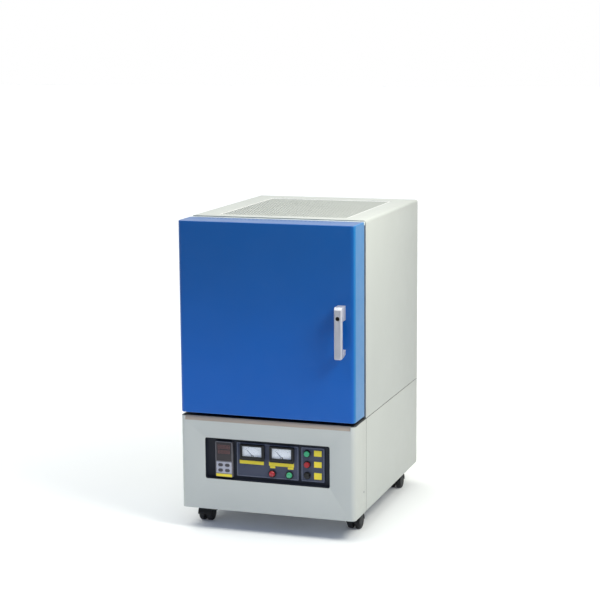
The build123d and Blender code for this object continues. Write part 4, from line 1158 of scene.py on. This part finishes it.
class FURNACE_OT_stage(bpy.types.Operator):
    """Floor, surrounding light, lamps and camera"""

    bl_idname = "furnace.stage"
    bl_label = "Stage"

    def execute(self, context):
        scene = context.scene
        settings = scene.furnace.stage
        self.lay_floor(scene, settings)
        self.light_room(scene, settings)
        lamp(
            "key", "SUN", (-0.55, 0.12, 2.0), (0, 0, 0),
            energy=settings.key, angle=settings.key_spread, color=(1.0, 0.985, 0.91),
        )
        lamp(
            "soft_box", "AREA", (1.35, -0.75, 1.75), (0.1, 0.0, 0.55),
            shape="DISK", size=0.9, energy=settings.soft_box, color=(1.0, 0.985, 0.88),
        )
        self.place_camera(scene)
        scene.view_settings.view_transform = "Standard"
        return {"FINISHED"}

    def lay_floor(self, scene, settings):
        material, tree, shader, place = new_material("studio_floor")
        path = add(tree, "ShaderNodeLightPath").outputs
        # away from the furnace the floor turns fully white
        away = add(tree, VECTOR_MATH, {0: place}, operation="LENGTH")
        lift = {"From Min": 0.55, "From Max": 1.3, "To Min": settings.lift, "To Max": settings.lift + 0.17}
        lift = add(tree, "ShaderNodeMapRange", {"Value": away, **lift})
        # in gloss the floor in front of the furnace is as dim as the room there
        ahead = add(tree, "ShaderNodeSeparateXYZ", {"Vector": place}).outputs["Y"]
        ahead = {"Value": ahead, "From Min": -1.5, "From Max": -0.7, "To Min": 1.0, "To Max": 0.0}
        ahead = add(tree, "ShaderNodeMapRange", ahead)
        dim = add(tree, MATH, {0: ahead, 1: path["Is Glossy Ray"]}, operation="MULTIPLY")
        # on the right a flag keeps the floor's light off the side
        flag = ramp(tree, place, "X", 300, 900)
        flag = add(tree, MATH, {0: flag, 1: path["Is Diffuse Ray"]}, operation="MULTIPLY")
        dim = add(tree, MATH, {0: flag, 1: 0.5, 2: dim}, operation="MULTIPLY_ADD")
        dim = add(tree, MATH, {0: path["Is Camera Ray"], 1: 0.08, 2: dim}, operation="MULTIPLY_ADD")
        give(tree, shader, {
            "Base Color": shade(tree, dim, settings.floor, scaled(settings.floor, 0.15)),
            "Roughness": 0.9,
            "Specular IOR Level": 0.0,
            "Emission Color": (1, 1, 1, 1),
            "Emission Strength": add(tree, MATH, {0: path["Is Camera Ray"], 1: lift}, operation="MULTIPLY"),
        })
        bm = bmesh.new()
        bmesh.ops.create_grid(bm, x_segments=1, y_segments=1, size=30)
        mesh = bpy.data.meshes.new("floor")
        bm.to_mesh(mesh)
        bm.free()
        mesh.materials.append(material)
        floor = bpy.data.objects.new("floor", mesh)
        scene.collection.objects.link(floor)

    def light_room(self, scene, settings):
        world = bpy.data.worlds.new("studio")
        scene.world = world
        world.use_nodes = True
        tree = world.node_tree
        tree.nodes.clear()
        path = add(tree, "ShaderNodeLightPath").outputs
        seen = add(tree, MATH, {0: path["Is Camera Ray"], 1: path["Is Glossy Ray"]}, operation="MAXIMUM")
        seen = add(tree, MATH, {0: seen, 1: path["Is Transmission Ray"]}, operation="MAXIMUM")
        # gloss sees a white room behind and beside the furnace and a dimmer one in front of it
        toward = add(tree, "ShaderNodeTexCoord").outputs["Generated"]
        toward = add(tree, "ShaderNodeSeparateXYZ", {"Vector": toward}).outputs["Y"]
        room = {"Value": toward, "From Min": -0.75, "From Max": -0.1, "To Min": settings.front_dim}
        room = add(tree, "ShaderNodeMapRange", room, interpolation_type="SMOOTHSTEP")
        room = add(tree, MATH, {0: room, 1: path["Is Camera Ray"]}, operation="MAXIMUM")
        tint = shade(tree, path["Is Camera Ray"], (0.94, 0.985, 1.0), (1.0, 1.0, 1.0))
        white = add(tree, VECTOR_MATH, {0: tint, "Scale": room}, operation="SCALE")
        # what lights the furnace: the front is dimmer and cooler than the rest of the room
        side = {"Value": toward, "From Min": -0.7, "From Max": 0.0}
        side = add(tree, "ShaderNodeMapRange", side, interpolation_type="SMOOTHSTEP")
        lit = shade(tree, side, settings.front, settings.surround)
        glow = shade(tree, seen, lit, white)
        add(tree, "ShaderNodeOutputWorld", {
            "Surface": add(tree, "ShaderNodeBackground", {"Color": glow, "Strength": 1.0})
        })

    def place_camera(self, scene):
        view = bpy.data.cameras.new("view")
        view.sensor_width = 36.0
        view.lens = 99.262
        camera = bpy.data.objects.new("view", view)
        scene.collection.objects.link(camera)
        yaw, pitch, roll = (math.radians(a) for a in (18.6238, 9.4536, -0.4093))
        ahead = Vector(
            (-math.sin(yaw) * math.cos(pitch), math.cos(yaw) * math.cos(pitch), -math.sin(pitch))
        )
        right = Vector((math.cos(yaw), math.sin(yaw), 0))
        up = right.cross(ahead)
        across = math.cos(roll) * right + math.sin(roll) * up
        upward = -math.sin(roll) * right + math.cos(roll) * up
        turn = Matrix((across, upward, -ahead)).transposed().to_4x4()
        camera.matrix_world = Matrix.Translation((1.42144, -4.24225, 1.32258)) @ turn
        scene.camera = camera


class FURNACE_PT_sidebar(bpy.types.Panel):
    """The furnace's sizes, colours and pieces"""

    bl_idname = "FURNACE_PT_sidebar"
    bl_label = "Muffle furnace"
    bl_space_type = "VIEW_3D"
    bl_region_type = "UI"
    bl_category = "Furnace"

    def draw(self, context):
        layout = self.layout
        settings = context.scene.furnace
        for name in ("cabinet", "plate", "panel", "stage"):
            group = getattr(settings, name)
            box = layout.box()
            for key in group.__annotations__:
                box.prop(group, key)
        for operator in OPERATORS:
            layout.operator(operator.bl_idname)


OPERATORS = (
    FURNACE_OT_stage,
    FURNACE_OT_cabinet,
    FURNACE_OT_door,
    FURNACE_OT_lining,
    FURNACE_OT_panel,
    FURNACE_OT_base,
    FURNACE_OT_casters,
    FURNACE_OT_perforated_plate,
    FURNACE_OT_labels,
    FURNACE_OT_keys,
    FURNACE_OT_deck,
    FURNACE_OT_trims,
    FURNACE_OT_display,
    FURNACE_OT_scales,
    FURNACE_OT_outlines,
    FURNACE_OT_drives,
)

CLASSES = (
    CabinetSettings,
    PlateSettings,
    PanelSettings,
    StageSettings,
    FurnaceSettings,
    *OPERATORS,
    FURNACE_PT_sidebar,
)


def register():
    for made in CLASSES:
        bpy.utils.register_class(made)
    bpy.types.Scene.furnace = bpy.props.PointerProperty(type=FurnaceSettings)


def unregister():
    del bpy.types.Scene.furnace
    for made in reversed(CLASSES):
        bpy.utils.unregister_class(made)


def main():
    register()
    for operator in OPERATORS:
        getattr(bpy.ops.furnace, operator.bl_idname.split(".")[1])()


if __name__ == "__main__":
    main()
